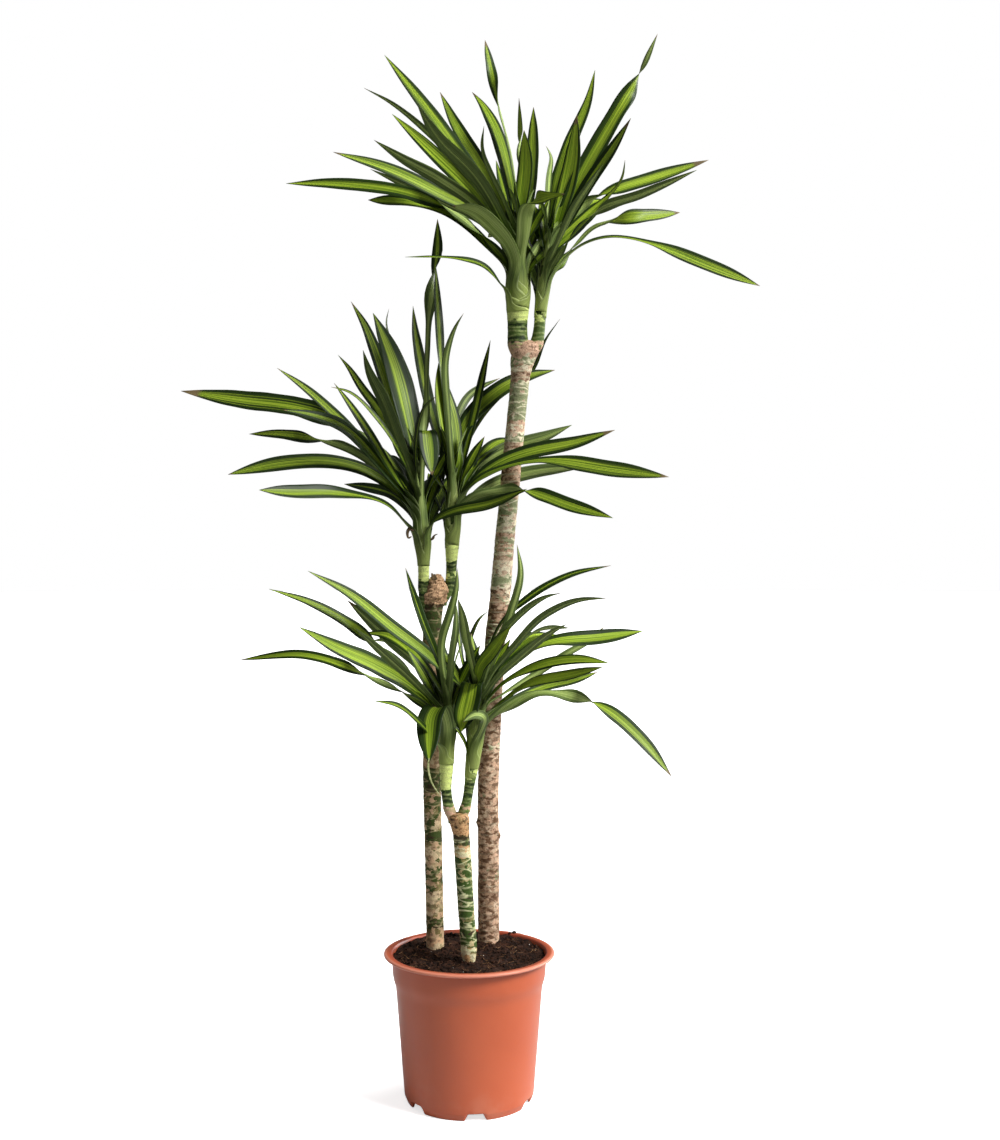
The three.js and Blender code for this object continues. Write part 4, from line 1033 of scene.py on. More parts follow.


# %% [markdown]
# ## Whole heads of leaves
# Each cane's leaves, seen and unseen, make one object, which is lighter than ninety. Leaves are sorted by
# the height of their roots, and a higher leaf nests a little deeper, so the sheaths overlap like the layers
# of a leek.

# %% Build the leaves
# Painted light and shade for each head: the tall head's leaves are made lighter and the middle head's darker,
# as the light falls on them.
HEAD_PAINTED_LIGHT = {"tall": 1.16, "middle": 0.83, "short": 1.06}  # how light a head's leaves are
DRY_TIPS = {0: 0.45, 0.02: 0.25, 0.05: 0.2, 0.1: 0.1}  # {dry share of a blade: how often}


def measured_leaf(stem, row):
    """A measured row as a midrib in mm and a width; depth grows evenly with the seen length."""
    side_name, py, seen_width, face, back, stripe, seen = row
    shoot = stem[side_name]
    root = stem_at(shoot["table"], py, SEEN)
    picture = np.array([(lerp(shoot["line"][0][0], shoot["line"][-1][0], root[ORDER]), py), *seen])
    legs = np.linalg.norm(np.diff(picture, axis=0), axis=1)
    depth = shoot["depth"] + back * np.cumsum(legs) / legs.sum()
    midrib = np.vstack([root[:3], place(picture[1:, 0], picture[1:, 1], depth)])
    full = seen_width * pixel_size(stem["depth"] + back * BLADE["broadest"])
    if face:
        full = full * BLADE["spare"] / BLADE["facing"]
    width = max(BLADE["least"], full)
    return {"side": side_name, "midrib": midrib, "width": width, "face": face, "narrow": min(1, full / width),
            "stripe": stripe, "tip": seen[-1], "twist": 0.0}


def head_leaves(name):
    """All leaves of a head: the measured ones, the far ones, the two that cross and the hearts' young
    ones."""
    stem = STEMS[name]
    leaves = [measured_leaf(stem, row) for row in LEAVES[name]]
    far = {"width": FAR_LEAF["width"], "stripe": 0.5, "face": None, "tip": None}
    for side, sign in (("left", -1), ("right", 1)):
        for n, turn in enumerate(FAR[name]["turns"]):
            midrib = far_midrib(stem[side], sign, turn, FAR[name]["rise"])
            leaves.append({"side": side, "midrib": midrib, "twist": -0.5 * (-1) ** n, **far})
    for side, midrib in zip(("left", "right"), crossing_midribs(stem)):
        leaves.append({"side": side, "midrib": midrib, "twist": 0.0, **far})
    for side in ("left", "right"):
        for n, midrib in enumerate(core_midribs(stem[side])):
            young = far | {"width": CORE_LEAF["width"]}
            leaves.append({"side": side, "midrib": midrib, "twist": 0.5 * (-1) ** n, **young})
    return leaves


def build_leaves(name, seed):
    """One object with every leaf of a head; the higher a leaf's root, the deeper its sheath lies."""
    draw = np.random.default_rng(seed)
    leaves = head_leaves(name)
    for side in ("left", "right"):
        own = sorted((leaf for leaf in leaves if leaf["side"] == side), key=lambda leaf: leaf["midrib"][0][2])
        for rank, leaf in enumerate(own):
            leaf["snug"] = 1 - NEST * rank / (len(own) - 1)
    rings, fields = [], []
    for leaf in leaves:
        # Painted light and shade for the whole head.
        leaf["shade"] = HEAD_PAINTED_LIGHT[name]
        leaf["broadest"] = BROADEST.get(leaf["tip"], BLADE["broadest"])
        leaf["dry"] = draw.choice(list(DRY_TIPS), p=list(DRY_TIPS.values()))
        points, numbers = leaf_surface(STEMS[name][leaf["side"]], leaf, draw)
        rings.append(points)
        fields.append(numbers)
    return tubes(f"leaves_{name}", np.stack(rings), stacked(fields))


leaves = {name: build_leaves(name, 7 * n + 3) for n, name in enumerate(STEMS)}

# %% [markdown]
# ## Dry scraps
# A few shrivelled leaf bases cling to the middle cane's shoots, a cut stub sits on its callus, and one
# withered leaf hangs loose at the short head. They are small curled strips, made with the same tubes as
# everything else.

# %% Build the scraps
SCRAPS = [  # (depth mm, width mm, [(px, py) along the strip])
    (6, 5.5, [(413.5, 531), (410, 528.5), (407.5, 532), (408.5, 538), (411.5, 536.5)]),
    (10, 3.0, [(432, 539), (434.5, 535.5), (437.5, 534)]),
    (8, 3.4, [(430.5, 540), (433.5, 538), (434.5, 535)]),
    (14, 6.5, [(433.5, 580), (432.8, 576), (431.6, 573.2)]),
    (15, 5.5, [(436, 580), (435, 576.5), (434.4, 574)]),
]


def strip(depth, width, seen):
    """A flat tapering strip along picture places, its width lying level, with a little thickness."""
    seen = np.array(seen)
    line = spline(place(seen[:, 0], seen[:, 1], depth), 16)
    tangent = unit(np.gradient(line, axis=0))
    across = unit(np.cross(tangent, (0.3, -1.0, 0.2)))
    normal = np.cross(tangent, across)
    turn = np.linspace(0, 2 * math.pi, 10, endpoint=False)[:, None, None]
    t = np.linspace(0, 1, 16)
    half = (width / 2 * (1 - 0.75 * t**2) * np.minimum(1, 0.4 + 4 * t))[:, None]
    ring = line + np.cos(turn) * across * half + np.sin(turn) * normal * np.minimum(half * 0.35, 0.8)
    return ring.transpose(1, 0, 2)


TAIL = (-140, 3.0, [(429, 758), (428.2, 768), (431.5, 782), (441, 797)])  # the withered leaf
scraps = tubes("dry_scraps", np.stack([strip(*row) for row in SCRAPS]))
tail = tubes("withered_tail", strip(*TAIL)[None])

# %% [markdown]
# ## The peat
# Peat is a heap of crumbs. Crumbs alone would need too many faces, so its surface is one closed mound with
# several sizes of noise on it, and on top lie loose crumbs, fibres and a few white specks of perlite. A
# crumb is repeated over a thousand times, so it has only twenty faces. The mound meets the pot's inner wall
# and heaps up a little round each cane.

# %% The mound
SOIL = {"front": 198.0, "back": 203.5, "lump": 1.3, "heap": 3.0, "reach": 13.0, "below_rim": 1.2}
SOIL_WALL = [(88.4, 14.8), (94.5, 90), (100.4, 164.6), (104.6, 169.4), (106, 190)]  # (radius, height)
SOIL_EDGE = 106.5
SOIL_GRAIN = [(0.9, 7), (0.7, 3.1), (0.35, 1.7)]  # (mm, cell mm)
FEET = [stem_at(stem["table"], 940, SEEN) for stem in STEMS.values()]  # where the canes leave the peat


def soil_height(x, y):
    """Height of the peat: a slope to the back, low lumps, a heap round each cane's foot and crumbly noise."""
    slope = lerp(SOIL["front"], SOIL["back"], smooth(-70, 90, y))
    lumps = np.sin(x * 0.11 + 1.3) * np.cos(y * 0.13) + 0.7 * np.sin(x * 0.23 - y * 0.19 + 0.6)
    height = slope + SOIL["lump"] * lumps
    for foot in FEET:
        away = np.hypot(x - foot[X], y - foot[Y]) - foot[RADIUS]
        height = height + SOIL["heap"] * np.exp(-np.maximum(away, 0) / SOIL["reach"])
    spot = np.stack([x, y, 0 * x], -1)
    return height + sum(mm * noise(spot, cell, 5 + n) for n, (mm, cell) in enumerate(SOIL_GRAIN))


def mound(rows, columns):
    """The peat's closed body: up the inner wall from the floor, then inwards over the top."""
    turn = np.linspace(0, 2 * math.pi, columns, endpoint=False)
    wall = np.array([(2, SOIL_WALL[0][1]), (45, SOIL_WALL[0][1]), *SOIL_WALL])
    radii = np.concatenate([wall[:, 0], SOIL_EDGE * (1 - np.linspace(0, 1, rows) * 0.985)])
    x, y = radii[:, None] * np.cos(turn), radii[:, None] * np.sin(turn)
    top = np.minimum(soil_height(x[len(wall):], y[len(wall):]), POT["height"] - SOIL["below_rim"])
    return np.stack([x, y, np.vstack([wall[:, 1:] + 0 * turn, top])], -1)[None]


soil = tubes("peat", mound(rows=96, columns=300))

# %% Crumbs, fibres and perlite
GOLD = (1 + math.sqrt(5)) / 2
BALL = unit(np.array([
    (-1, GOLD, 0), (1, GOLD, 0), (-1, -GOLD, 0), (1, -GOLD, 0), (0, -1, GOLD), (0, 1, GOLD),
    (0, -1, -GOLD), (0, 1, -GOLD), (GOLD, 0, -1), (GOLD, 0, 1), (-GOLD, 0, -1), (-GOLD, 0, 1),
]))
BALL_FACES = np.array([
    (0, 11, 5), (0, 5, 1), (0, 1, 7), (0, 7, 10), (0, 10, 11), (1, 5, 9), (5, 11, 4), (11, 10, 2), (10, 7, 6),
    (7, 1, 8), (3, 9, 4), (3, 4, 2), (3, 2, 6), (3, 6, 8), (3, 8, 9), (4, 9, 5), (2, 4, 11), (6, 2, 10),
    (8, 6, 7), (9, 8, 1),
])
CRUMB = {"stretch": (0.65, 1.25), "bump": (0.8, 1.15)}  # shares of its size
FIBRE = {"length": (5, 13), "bow": (-0.35, 0.35), "lift": (0, 2.5), "radius": (0.2, 0.42)}  # mm, bow a share
draw = np.random.default_rng(41)


def scattered(count, reach):
    """Random places spread evenly over the round top of the peat."""
    turn, radius = draw.uniform(0, 2 * math.pi, count), reach * np.sqrt(draw.uniform(0, 1, count))
    return radius * np.cos(turn), radius * np.sin(turn)


def crumbs(name, x, y, size, sink):
    """Uneven balls of twenty faces, each stretched and turned at random and sunk partly into the peat."""
    count = len(x)
    stretch = draw.uniform(*CRUMB["stretch"], (count, 1, 3))
    bumps = draw.uniform(*CRUMB["bump"], (count, 12, 1))
    spin = draw.uniform(0, 2 * math.pi, count)[:, None]
    ball = BALL * stretch * bumps * size[:, None, None]
    turned_x = ball[..., 0] * np.cos(spin) - ball[..., 1] * np.sin(spin)
    turned_y = ball[..., 0] * np.sin(spin) + ball[..., 1] * np.cos(spin)
    z = soil_height(x, y) + size * (1 - 2 * sink) * 0.5
    points = np.stack([turned_x + x[:, None], turned_y + y[:, None], ball[..., 2] + z[:, None]], -1)
    faces = (BALL_FACES + 12 * np.arange(count)[:, None, None]).reshape(-1, 3)
    tint = np.repeat(draw.uniform(0, 1, count), 12)
    return write_mesh(name, points, faces, {"tint": tint})


# Large crumbs that are seen over the far rim: (px, size mm)
BACK_CRUMBS = np.array([(443, 4.2), (447, 4.6), (451, 4.4), (455, 4.2), (510, 4.3), (514, 4.6), (519, 4.3)])
BACK = {"py": 928, "depth": 96, "y": 94.0}
x, y = scattered(1500, 102)
size = 0.7 + 2.0 * draw.uniform(0, 1, len(x)) ** 3
x = np.concatenate([x, place(BACK_CRUMBS[:, 0], BACK["py"], BACK["depth"])[:, 0]])
y = np.concatenate([y, np.full(len(BACK_CRUMBS), BACK["y"])])
peat_crumbs = crumbs("peat_crumbs", x, y, np.concatenate([size, BACK_CRUMBS[:, 1]]), sink=0.35)
x, y = scattered(11, 100)
perlite = crumbs("perlite", x, y, draw.uniform(0.4, 0.95, len(x)), sink=0.25)


def fibres(count):
    """Short root hairs and wood fibres: thin bowed tubes lying on the peat at random turns."""
    fx, fy = scattered(count, 98)
    t = np.linspace(-0.5, 0.5, 6)
    turn = draw.uniform(0, 2 * math.pi, count)[:, None]
    length = draw.uniform(*FIBRE["length"], count)[:, None]
    bow = draw.uniform(*FIBRE["bow"], count)[:, None] * length * (0.25 - t**2)
    gx = fx[:, None] + length * t * np.cos(turn) - bow * np.sin(turn)
    gy = fy[:, None] + length * t * np.sin(turn) + bow * np.cos(turn)
    lift = draw.uniform(*FIBRE["lift"], count)[:, None] * (t + 0.5) ** 2
    line = np.stack([gx, gy, soil_height(gx, gy) + 0.5 + lift], -1)
    tangent = unit(np.gradient(line, axis=1))
    side = unit(np.cross(tangent, (0, 0, 1.0)))
    up = np.cross(side, tangent)
    corner = np.radians([45, 135, 225, 315])
    thick = draw.uniform(*FIBRE["radius"], count)[:, None, None, None] * (1 - 1.2 * t[:, None, None] ** 2)
    ring = np.cos(corner)[:, None] * side[:, :, None] + np.sin(corner)[:, None] * up[:, :, None]
    return tubes("peat_fibres", line[:, :, None] + thick * ring[:, :, ::-1])


peat_fibres = fibres(120)

# %% [markdown]
# ## Materials: tools and shared effects
# Colours are given as they look on a screen and turned into linear light. Noise in the shader needs no
# image and has no seams. Three effects are node groups, each made once: streaks that run along a leaf,
# mottling of two sizes for rind, peat and plastic, and a mosaic of uneven patches for rind. Groups put out
# plain values, and each material keeps its own shader.

# %% Node helpers
def screen(red, green, blue):
    """A screen colour of 0 to 255 as linear light."""
    c = np.array([red, green, blue]) / 255
    return (*np.where(c <= 0.04045, c / 12.92, ((c + 0.055) / 1.055) ** 2.4), 1.0)


def node(tree, kind, inputs=(), **settings):
    """A new node; inputs are (socket, value or the output that feeds it)."""
    made = tree.nodes.new(kind)
    for key, value in settings.items():
        setattr(made, key, value)
    for socket, value in inputs:
        if isinstance(value, bpy.types.NodeSocket):
            tree.links.new(value, made.inputs[socket])
        else:
            made.inputs[socket].default_value = value
    return made


def number(tree, label):
    """The mesh's own number of that name."""
    return node(tree, "ShaderNodeAttribute", attribute_name=label).outputs["Fac"]


def calc(tree, operation, a, b=None):
    """One sum of one or two values."""
    inputs = [(0, a)] if b is None else [(0, a), (1, b)]
    return node(tree, "ShaderNodeMath", inputs, operation=operation).outputs[0]


def times(tree, a, b):
    """Two values multiplied."""
    return calc(tree, "MULTIPLY", a, b)


def plus(tree, a, b):
    """Two values added."""
    return calc(tree, "ADD", a, b)


def scaled(tree, vector, by):
    """A colour or vector times one value."""
    return node(tree, "ShaderNodeVectorMath", [(0, vector), (3, by)], operation="SCALE").outputs[0]


def stretched(tree, vector, by):
    """A vector with each part times its own value."""
    return node(tree, "ShaderNodeVectorMath", [(0, vector), (1, by)], operation="MULTIPLY").outputs[0]


def own_place(tree):
    """The place on the piece, in metres."""
    return node(tree, "ShaderNodeTexCoord").outputs["Object"]


def ramp(tree, value, low, high, start=0.0, end=1.0):
    """A smooth step of a value from low to high, put out as start to end."""
    inputs = [("Value", value), (1, low), (2, high), (3, start), (4, end)]
    return node(tree, "ShaderNodeMapRange", inputs, interpolation_type="SMOOTHSTEP").outputs["Result"]


def blend(tree, amount, a, b):
    """Colour a with colour b laid over it by an amount."""
    inputs = [(0, amount), (6, a), (7, b)]
    return node(tree, "ShaderNodeMix", inputs, data_type="RGBA").outputs[2]


def specks(tree, scale, detail=2.0, vector=None, roughness=0.5):
    """A noise value about 0.5 on object coordinates, or on a given vector."""
    vector = vector or own_place(tree)
    inputs = [("Vector", vector), ("Scale", scale), ("Detail", detail), ("Roughness", roughness)]
    return node(tree, "ShaderNodeTexNoise", inputs).outputs["Fac"]


def new_group(name, inputs, outputs):
    """A shader node group with named float inputs (name, default) and float outputs."""
    tree = bpy.data.node_groups.new(name, "ShaderNodeTree")
    for label, value in inputs:
        socket = tree.interface.new_socket(label, in_out="INPUT", socket_type="NodeSocketFloat")
        socket.default_value = value
    for label in outputs:
        tree.interface.new_socket(label, in_out="OUTPUT", socket_type="NodeSocketFloat")
    return tree, tree.nodes.new("NodeGroupInput"), tree.nodes.new("NodeGroupOutput")


def use_group(tree, group, **values):
    """A group placed in a material with its own values."""
    inputs = [(label.replace("_", " "), value) for label, value in values.items()]
    return node(tree, "ShaderNodeGroup", inputs, node_tree=group)


def new_material(name):
    """A material with one Principled shader, and its tree."""
    made = bpy.data.materials.new(name)
    made.use_nodes = True
    return made, made.node_tree, made.node_tree.nodes["Principled BSDF"]


def fixed(shader, **values):
    """Numbers that are the same all over the surface, set on the shader itself."""
    for label, value in values.items():
        shader.inputs[label.replace("_", " ")].default_value = value


def bump(tree, shader, height, strength, distance):
    """Relief from a height value, in metres."""
    inputs = [("Height", height), ("Strength", strength), ("Distance", distance)]
    tree.links.new(node(tree, "ShaderNodeBump", inputs).outputs["Normal"], shader.inputs["Normal"])


# %% Shared node groups
def streaks_group():
    """Noise stretched along a leaf: fine veins, broad variegation and slow patches."""
    tree, source, sink = new_group("leaf_streaks", [("Density", 9.0)], ["Fine", "Broad", "Patches"])
    across, length, tone = number(tree, "across"), number(tree, "length"), number(tree, "tone")
    layers = {"Fine": (2.6, 0.5), "Broad": (0.75, 0.34), "Patches": (0.2, 0.9)}
    for label, (cross_scale, long_scale) in layers.items():
        wide = times(tree, across, times(tree, source.outputs["Density"], cross_scale))
        long = times(tree, length, long_scale)
        seed = times(tree, tone, 61.0)
        vector = node(tree, "ShaderNodeCombineXYZ", [(0, wide), (1, long), (2, seed)]).outputs[0]
        tree.links.new(specks(tree, 1.0, 2.0, vector), sink.inputs[label])
    return tree


def mottle_group():
    """Large patches and fine grains of noise on object coordinates; scales are cells per metre."""
    inputs = [("Patch Scale", 60.0), ("Grain Scale", 500.0)]
    tree, source, sink = new_group("mottle", inputs, ["Patch", "Grain"])
    for label, detail in (("Patch", 3.0), ("Grain", 4.0)):
        tree.links.new(specks(tree, source.outputs[f"{label} Scale"], detail), sink.inputs[label])
    return tree


def mosaic_group():
    """Uneven patches: cells round random points, on object coordinates pushed about by noise, with three
    random numbers for each cell and the nearness to its edge."""
    inputs = [("Across Scale", 120.0), ("Up Scale", 150.0), ("Wander", 0.9), ("Detail", 3.0)]
    tree, source, sink = new_group("mosaic", inputs, ["Cell A", "Cell B", "Cell C", "Edge"])
    across, up = source.outputs["Across Scale"], source.outputs["Up Scale"]
    scales = node(tree, "ShaderNodeCombineXYZ", [(0, across), (1, across), (2, up)]).outputs[0]
    cells = stretched(tree, own_place(tree), scales)
    inputs = [("Vector", cells), ("Scale", 1.3), ("Detail", source.outputs["Detail"])]
    push = node(tree, "ShaderNodeTexNoise", inputs).outputs["Color"]
    push = scaled(tree, push, source.outputs["Wander"])
    moved = node(tree, "ShaderNodeVectorMath", [(0, cells), (1, push)], operation="ADD").outputs[0]
    inputs = [("Vector", moved), ("Scale", 1.0)]
    patches = node(tree, "ShaderNodeTexVoronoi", inputs).outputs["Color"]
    parts = node(tree, "ShaderNodeSeparateColor", [(0, patches)]).outputs
    for n, label in enumerate(("Cell A", "Cell B", "Cell C")):
        tree.links.new(parts[n], sink.inputs[label])
    edges = node(tree, "ShaderNodeTexVoronoi", inputs, feature="DISTANCE_TO_EDGE").outputs["Distance"]
    tree.links.new(ramp(tree, edges, 0.01, 0.09, 1.0, 0.0), sink.inputs["Edge"])
    return tree


streaks = streaks_group()
mottle = mottle_group()
mosaic = mosaic_group()

# %% [markdown]
# ## The leaf material
# Seen from above, a leaf is dark green with a lime band down the middle, broken up by fine streaks along
# it. The band's share of the width is a number on each leaf, and so is a painted light and shade for its
# head, lighter on the tall head and darker on the middle one. Near the stem the band fades into plain
# green. The foot of a sheath is pale, partly its own colour and partly a painted highlight, the underside
# is greyer, and some tips are dry.

# %% Leaf material
# A tone lies between two colours, by a layer of the streaks: (layer, from, to, first colour, second colour)
LEAF_TONES = {
    "dark": ("Fine", 0.35, 0.65, screen(18, 34, 5), screen(42, 64, 14)),
    "lime": ("Fine", 0.4, 0.6, screen(82, 110, 16), screen(164, 188, 52)),
    "green": ("Broad", 0.4, 0.6, screen(40, 58, 16), screen(106, 126, 56)),
    "pale": ("Fine", 0.38, 0.62, screen(116, 138, 62), screen(180, 196, 124)),
    "grey": ("Fine", 0.35, 0.65, screen(68, 84, 36), screen(112, 132, 70)),
}
LEAF = {
    "clouded": screen(56, 84, 18),
    "young": screen(58, 86, 20),
    # Partly painted highlight: the pale foot of a sheath is partly its own colour and partly the look of its
    # lit side.
    "foot": screen(190, 204, 112),
    "hem": screen(196, 206, 146),
    "dry": screen(112, 96, 66),
}


def leaf_material():
    """Dark margins, a streaked lime band, a plain sheath, a greyer underside and dry tips."""
    made, tree, shader = new_material("striped_leaf")
    veins = use_group(tree, streaks, Density=8.0).outputs
    across, tone, under, sheath = (number(tree, label) for label in ("across", "tone", "under", "sheath"))
    aside = plus(tree, across, times(tree, calc(tree, "SUBTRACT", tone, 0.5), 0.16))
    wander = times(tree, calc(tree, "SUBTRACT", veins["Broad"], 0.5), 0.75)
    edge = plus(tree, calc(tree, "ABSOLUTE", aside), wander)
    share = times(tree, number(tree, "stripe"), 0.84)
    band = ramp(tree, calc(tree, "SUBTRACT", share, edge), -0.15, 0.14)
    band = times(tree, band, calc(tree, "SUBTRACT", 1.0, times(tree, sheath, 0.75)))

    tones = {}
    for label, (layer, low, high, first, second) in LEAF_TONES.items():
        tones[label] = blend(tree, ramp(tree, veins[layer], low, high), first, second)
    clouds = times(tree, ramp(tree, veins["Broad"], 0.5, 0.75), 0.5)
    lime = blend(tree, clouds, tones["lime"], LEAF["clouded"])
    lime = blend(tree, times(tree, number(tree, "young"), 0.5), lime, LEAF["young"])
    colour = blend(tree, band, tones["dark"], lime)
    below = blend(tree, band, tones["grey"], tones["pale"])
    colour = blend(tree, times(tree, under, 0.8), colour, below)
    colour = blend(tree, times(tree, sheath, 0.6), colour, tones["green"])
    # Partly painted highlight: the sheath's foot is made pale all round.
    colour = blend(tree, times(tree, number(tree, "foot"), 0.4), colour, LEAF["foot"])
    hem = times(tree, ramp(tree, calc(tree, "ABSOLUTE", across), 0.84, 0.97, 0.0, 0.25), sheath)
    colour = blend(tree, hem, colour, LEAF["hem"])
    # Random patches of tone, times the painted light and shade of the leaf's head.
    shade = times(tree, ramp(tree, veins["Patches"], 0.3, 0.7, 0.86, 1.08), number(tree, "shade"))
    dry = ramp(tree, plus(tree, number(tree, "tip"), times(tree, veins["Fine"], 0.3)), 0.3, 0.6)
    colour = blend(tree, dry, scaled(tree, colour, shade), LEAF["dry"])
    tree.links.new(colour, shader.inputs["Base Color"])
    rough = plus(tree, ramp(tree, veins["Fine"], 0.3, 0.7, 0.44, 0.54), times(tree, under, 0.14))
    tree.links.new(rough, shader.inputs["Roughness"])
    fixed(shader, Specular_IOR_Level=0.18, Coat_Weight=0.04, Coat_Roughness=0.22)
    bump(tree, shader, veins["Fine"], 0.35, 0.0006)
    return made


leaf_finish = leaf_material()

# %% [markdown]
# ## Bark and shoots
# The bark material reads the band numbers that the canes carry. Tan rind with brown mottling lies under
# green, dark, pale and warm layers, and the scar rings are thin pale lines, broken by a fine grain. One
# builder serves the three canes and the shoots, with its own colours for each.

# %% Bark materials
def share_of(tree, label, cell, soft):
    """Where a band shows: its strength is the share of patches that it paints, with edges of some
    softness."""
    own = number(tree, label)
    uneven = plus(tree, own, times(tree, calc(tree, "SUBTRACT", cell, 0.5), 1.04))
    there = ramp(tree, own, 0.02, 0.12)
    return times(tree, ramp(tree, uneven, 0.5 - soft, 0.5 + soft), there)


def bark_material(name, colours, across, up, roughness):
    """Rind in layers: two base tones by patch, then bands of colour, callus blotches, scar rings and
    flecks."""
    made, tree, shader = new_material(name)
    cells = use_group(tree, mosaic, Across_Scale=across, Up_Scale=up, Wander=1.4).outputs
    net = use_group(tree, mosaic, Across_Scale=30.0, Up_Scale=76.0, Wander=0.55, Detail=1.0).outputs["Edge"]
    grains = use_group(tree, mottle, Patch_Scale=90.0, Grain_Scale=700.0).outputs
    fine = specks(tree, 240.0, 3.0)
    flat = stretched(tree, own_place(tree), (1.0, 1.0, 1.9))
    brown = ramp(tree, specks(tree, 100.0, 3.0, flat, 0.55), 0.32, 0.68)
    colour = blend(tree, ramp(tree, cells["Cell A"], 0.45, 0.55), colours["base"], colours["base_2"])
    colour = blend(tree, ramp(tree, grains["Patch"], 0.4, 0.66, 0.0, 0.6), colour, colours["base_3"])
    layers = [
        ("green", cells["Cell B"], 0.06), ("warm", cells["Cell C"], 0.14), ("pale", cells["Cell A"], 0.1),
        ("dark", brown, 0.3), ("lime", cells["Cell B"], 0.06),
    ]
    for label, cell, soft in layers:
        colour = blend(tree, share_of(tree, label, cell, soft), colour, colours[label])
    fleck = ramp(tree, fine, 0.52, 0.7, 0.0, colours["flecked"])
    colour = blend(tree, fleck, colour, colours["fleck"])
    webbed = times(tree, net, ramp(tree, number(tree, "green"), 0.1, 0.5, 0.0, colours["net"]))
    colour = blend(tree, times(tree, webbed, ramp(tree, brown, 0.2, 0.5)), colour, colours["scar"])
    spots = ramp(tree, specks(tree, 420.0, 3.0), 0.5, 0.64, 0.0, 0.8)
    blotch = times(tree, number(tree, "callus"), spots)
    colour = blend(tree, blotch, colour, colours["blotch"])
    ring = times(tree, number(tree, "scar"), ramp(tree, fine, 0.35, 0.6, 0.4, 0.95))
    colour = blend(tree, ring, colour, colours["scar"])
    shade = ramp(tree, grains["Grain"], 0.3, 0.7, 0.82, 1.14)
    tree.links.new(scaled(tree, colour, shade), shader.inputs["Base Color"])
    tree.links.new(ramp(tree, fine, 0.3, 0.7, roughness - 0.08, roughness + 0.1), shader.inputs["Roughness"])
    fixed(shader, Specular_IOR_Level=0.2)
    patchy = times(tree, cells["Cell A"], 0.35)
    height = plus(tree, plus(tree, times(tree, grains["Grain"], 0.5), fine), patchy)
    bump(tree, shader, height, 0.6, 0.0012)
    return made


BARK = {
    "base": screen(212, 186, 158), "base_2": screen(180, 148, 120), "base_3": screen(130, 100, 76),
    "green": screen(136, 142, 104), "dark": screen(104, 76, 54), "pale": screen(226, 214, 184),
    "warm": screen(202, 166, 138), "lime": screen(212, 226, 132), "blotch": screen(108, 70, 46),
    "scar": screen(226, 218, 184), "fleck": screen(84, 60, 44), "flecked": 0.65, "net": 0.9,
}
MIDDLE_BARK = BARK | {
    "base": screen(188, 156, 122), "base_2": screen(120, 110, 68), "base_3": screen(96, 78, 48),
    "green": screen(56, 70, 26), "dark": screen(58, 46, 26), "pale": screen(196, 174, 138),
    "warm": screen(204, 166, 128), "scar": screen(204, 188, 142), "net": 0.4,
}
SHORT_BARK = BARK | {
    "base": screen(192, 172, 126), "base_2": screen(138, 130, 80), "base_3": screen(96, 92, 52),
    "green": screen(58, 80, 28), "dark": screen(52, 46, 26), "pale": screen(206, 196, 158),
    "warm": screen(190, 150, 106), "blotch": screen(124, 80, 48), "scar": screen(206, 206, 158),
    "fleck": screen(58, 56, 28), "flecked": 0.4, "net": 0.8,
}
SHOOT_BARK = BARK | {
    "base": screen(96, 114, 54), "base_2": screen(76, 98, 42), "base_3": screen(60, 82, 34),
    "green": screen(82, 104, 46), "dark": screen(34, 50, 18), "warm": screen(204, 166, 138),
    "scar": screen(166, 178, 112), "fleck": screen(58, 74, 30), "flecked": 0.3, "net": 0.0,
}
bark_finish = {
    "tall": bark_material("bark_tall", BARK, 150.0, 190.0, 0.72),
    "middle": bark_material("bark_middle", MIDDLE_BARK, 125.0, 150.0, 0.68),
    "short": bark_material("bark_short", SHORT_BARK, 150.0, 170.0, 0.6),
}
shoot_finish = bark_material("green_shoot", SHOOT_BARK, 120.0, 160.0, 0.5)


def plain_material(name, dark, light, patch, grain, roughness, relief, spread=(0.35, 0.65), gloss=0.2):
    """A mottled finish between two colours, with its grain as relief."""
    made, tree, shader = new_material(name)
    grains = use_group(tree, mottle, Patch_Scale=patch, Grain_Scale=grain).outputs
    mixed = times(tree, plus(tree, grains["Patch"], grains["Grain"]), 0.5)
    colour = blend(tree, ramp(tree, mixed, *spread), dark, light)
    tree.links.new(colour, shader.inputs["Base Color"])
    rough = ramp(tree, mixed, 0.3, 0.7, roughness - 0.05, roughness + 0.06)
    tree.links.new(rough, shader.inputs["Roughness"])
    fixed(shader, Specular_IOR_Level=gloss)
    bump(tree, shader, grains["Grain"], *relief)
    return made, tree, shader


# %% [markdown]
# ## Peat, perlite and plastic
# Moist peat is nearly black, with brown crumbs. Perlite is a dull white. Both are a plain mottle between
# two colours, and so are the fibres and dry scraps. The pot is satin plastic: an even terracotta with the
# faintest clouding, a fine moulded grain and a little dust towards its foot. Its lip has a painted
# highlight along its outer edge and painted shade on its inner side.

# %% Peat, perlite, scraps and pot materials
# {finish: (dark, light, patches and grains per metre, roughness, relief, and perhaps spread and gloss)}
PLAIN = {
    "moist_peat": (
        screen(20, 11, 7), screen(64, 40, 28), 150.0, 700.0, 0.84, (0.9, 0.0015), (0.42, 0.64), 0.1,
    ),
    "perlite": (screen(205, 200, 190), screen(245, 243, 238), 400.0, 1500.0, 0.8, (0.4, 0.0004)),
    "root_fibre": (screen(92, 62, 40), screen(150, 112, 76), 200.0, 900.0, 0.8, (0.3, 0.0003)),
    "dry_leaf": (screen(52, 40, 28), screen(112, 92, 62), 260.0, 1200.0, 0.78, (0.6, 0.0008)),
    "withered_leaf": (screen(128, 134, 84), screen(186, 190, 138), 260.0, 1200.0, 0.7, (0.4, 0.0006)),
}
finish = {name: plain_material(name, *values)[0] for name, values in PLAIN.items()}
TERRACOTTA = screen(174, 79, 43), screen(181, 85, 48)


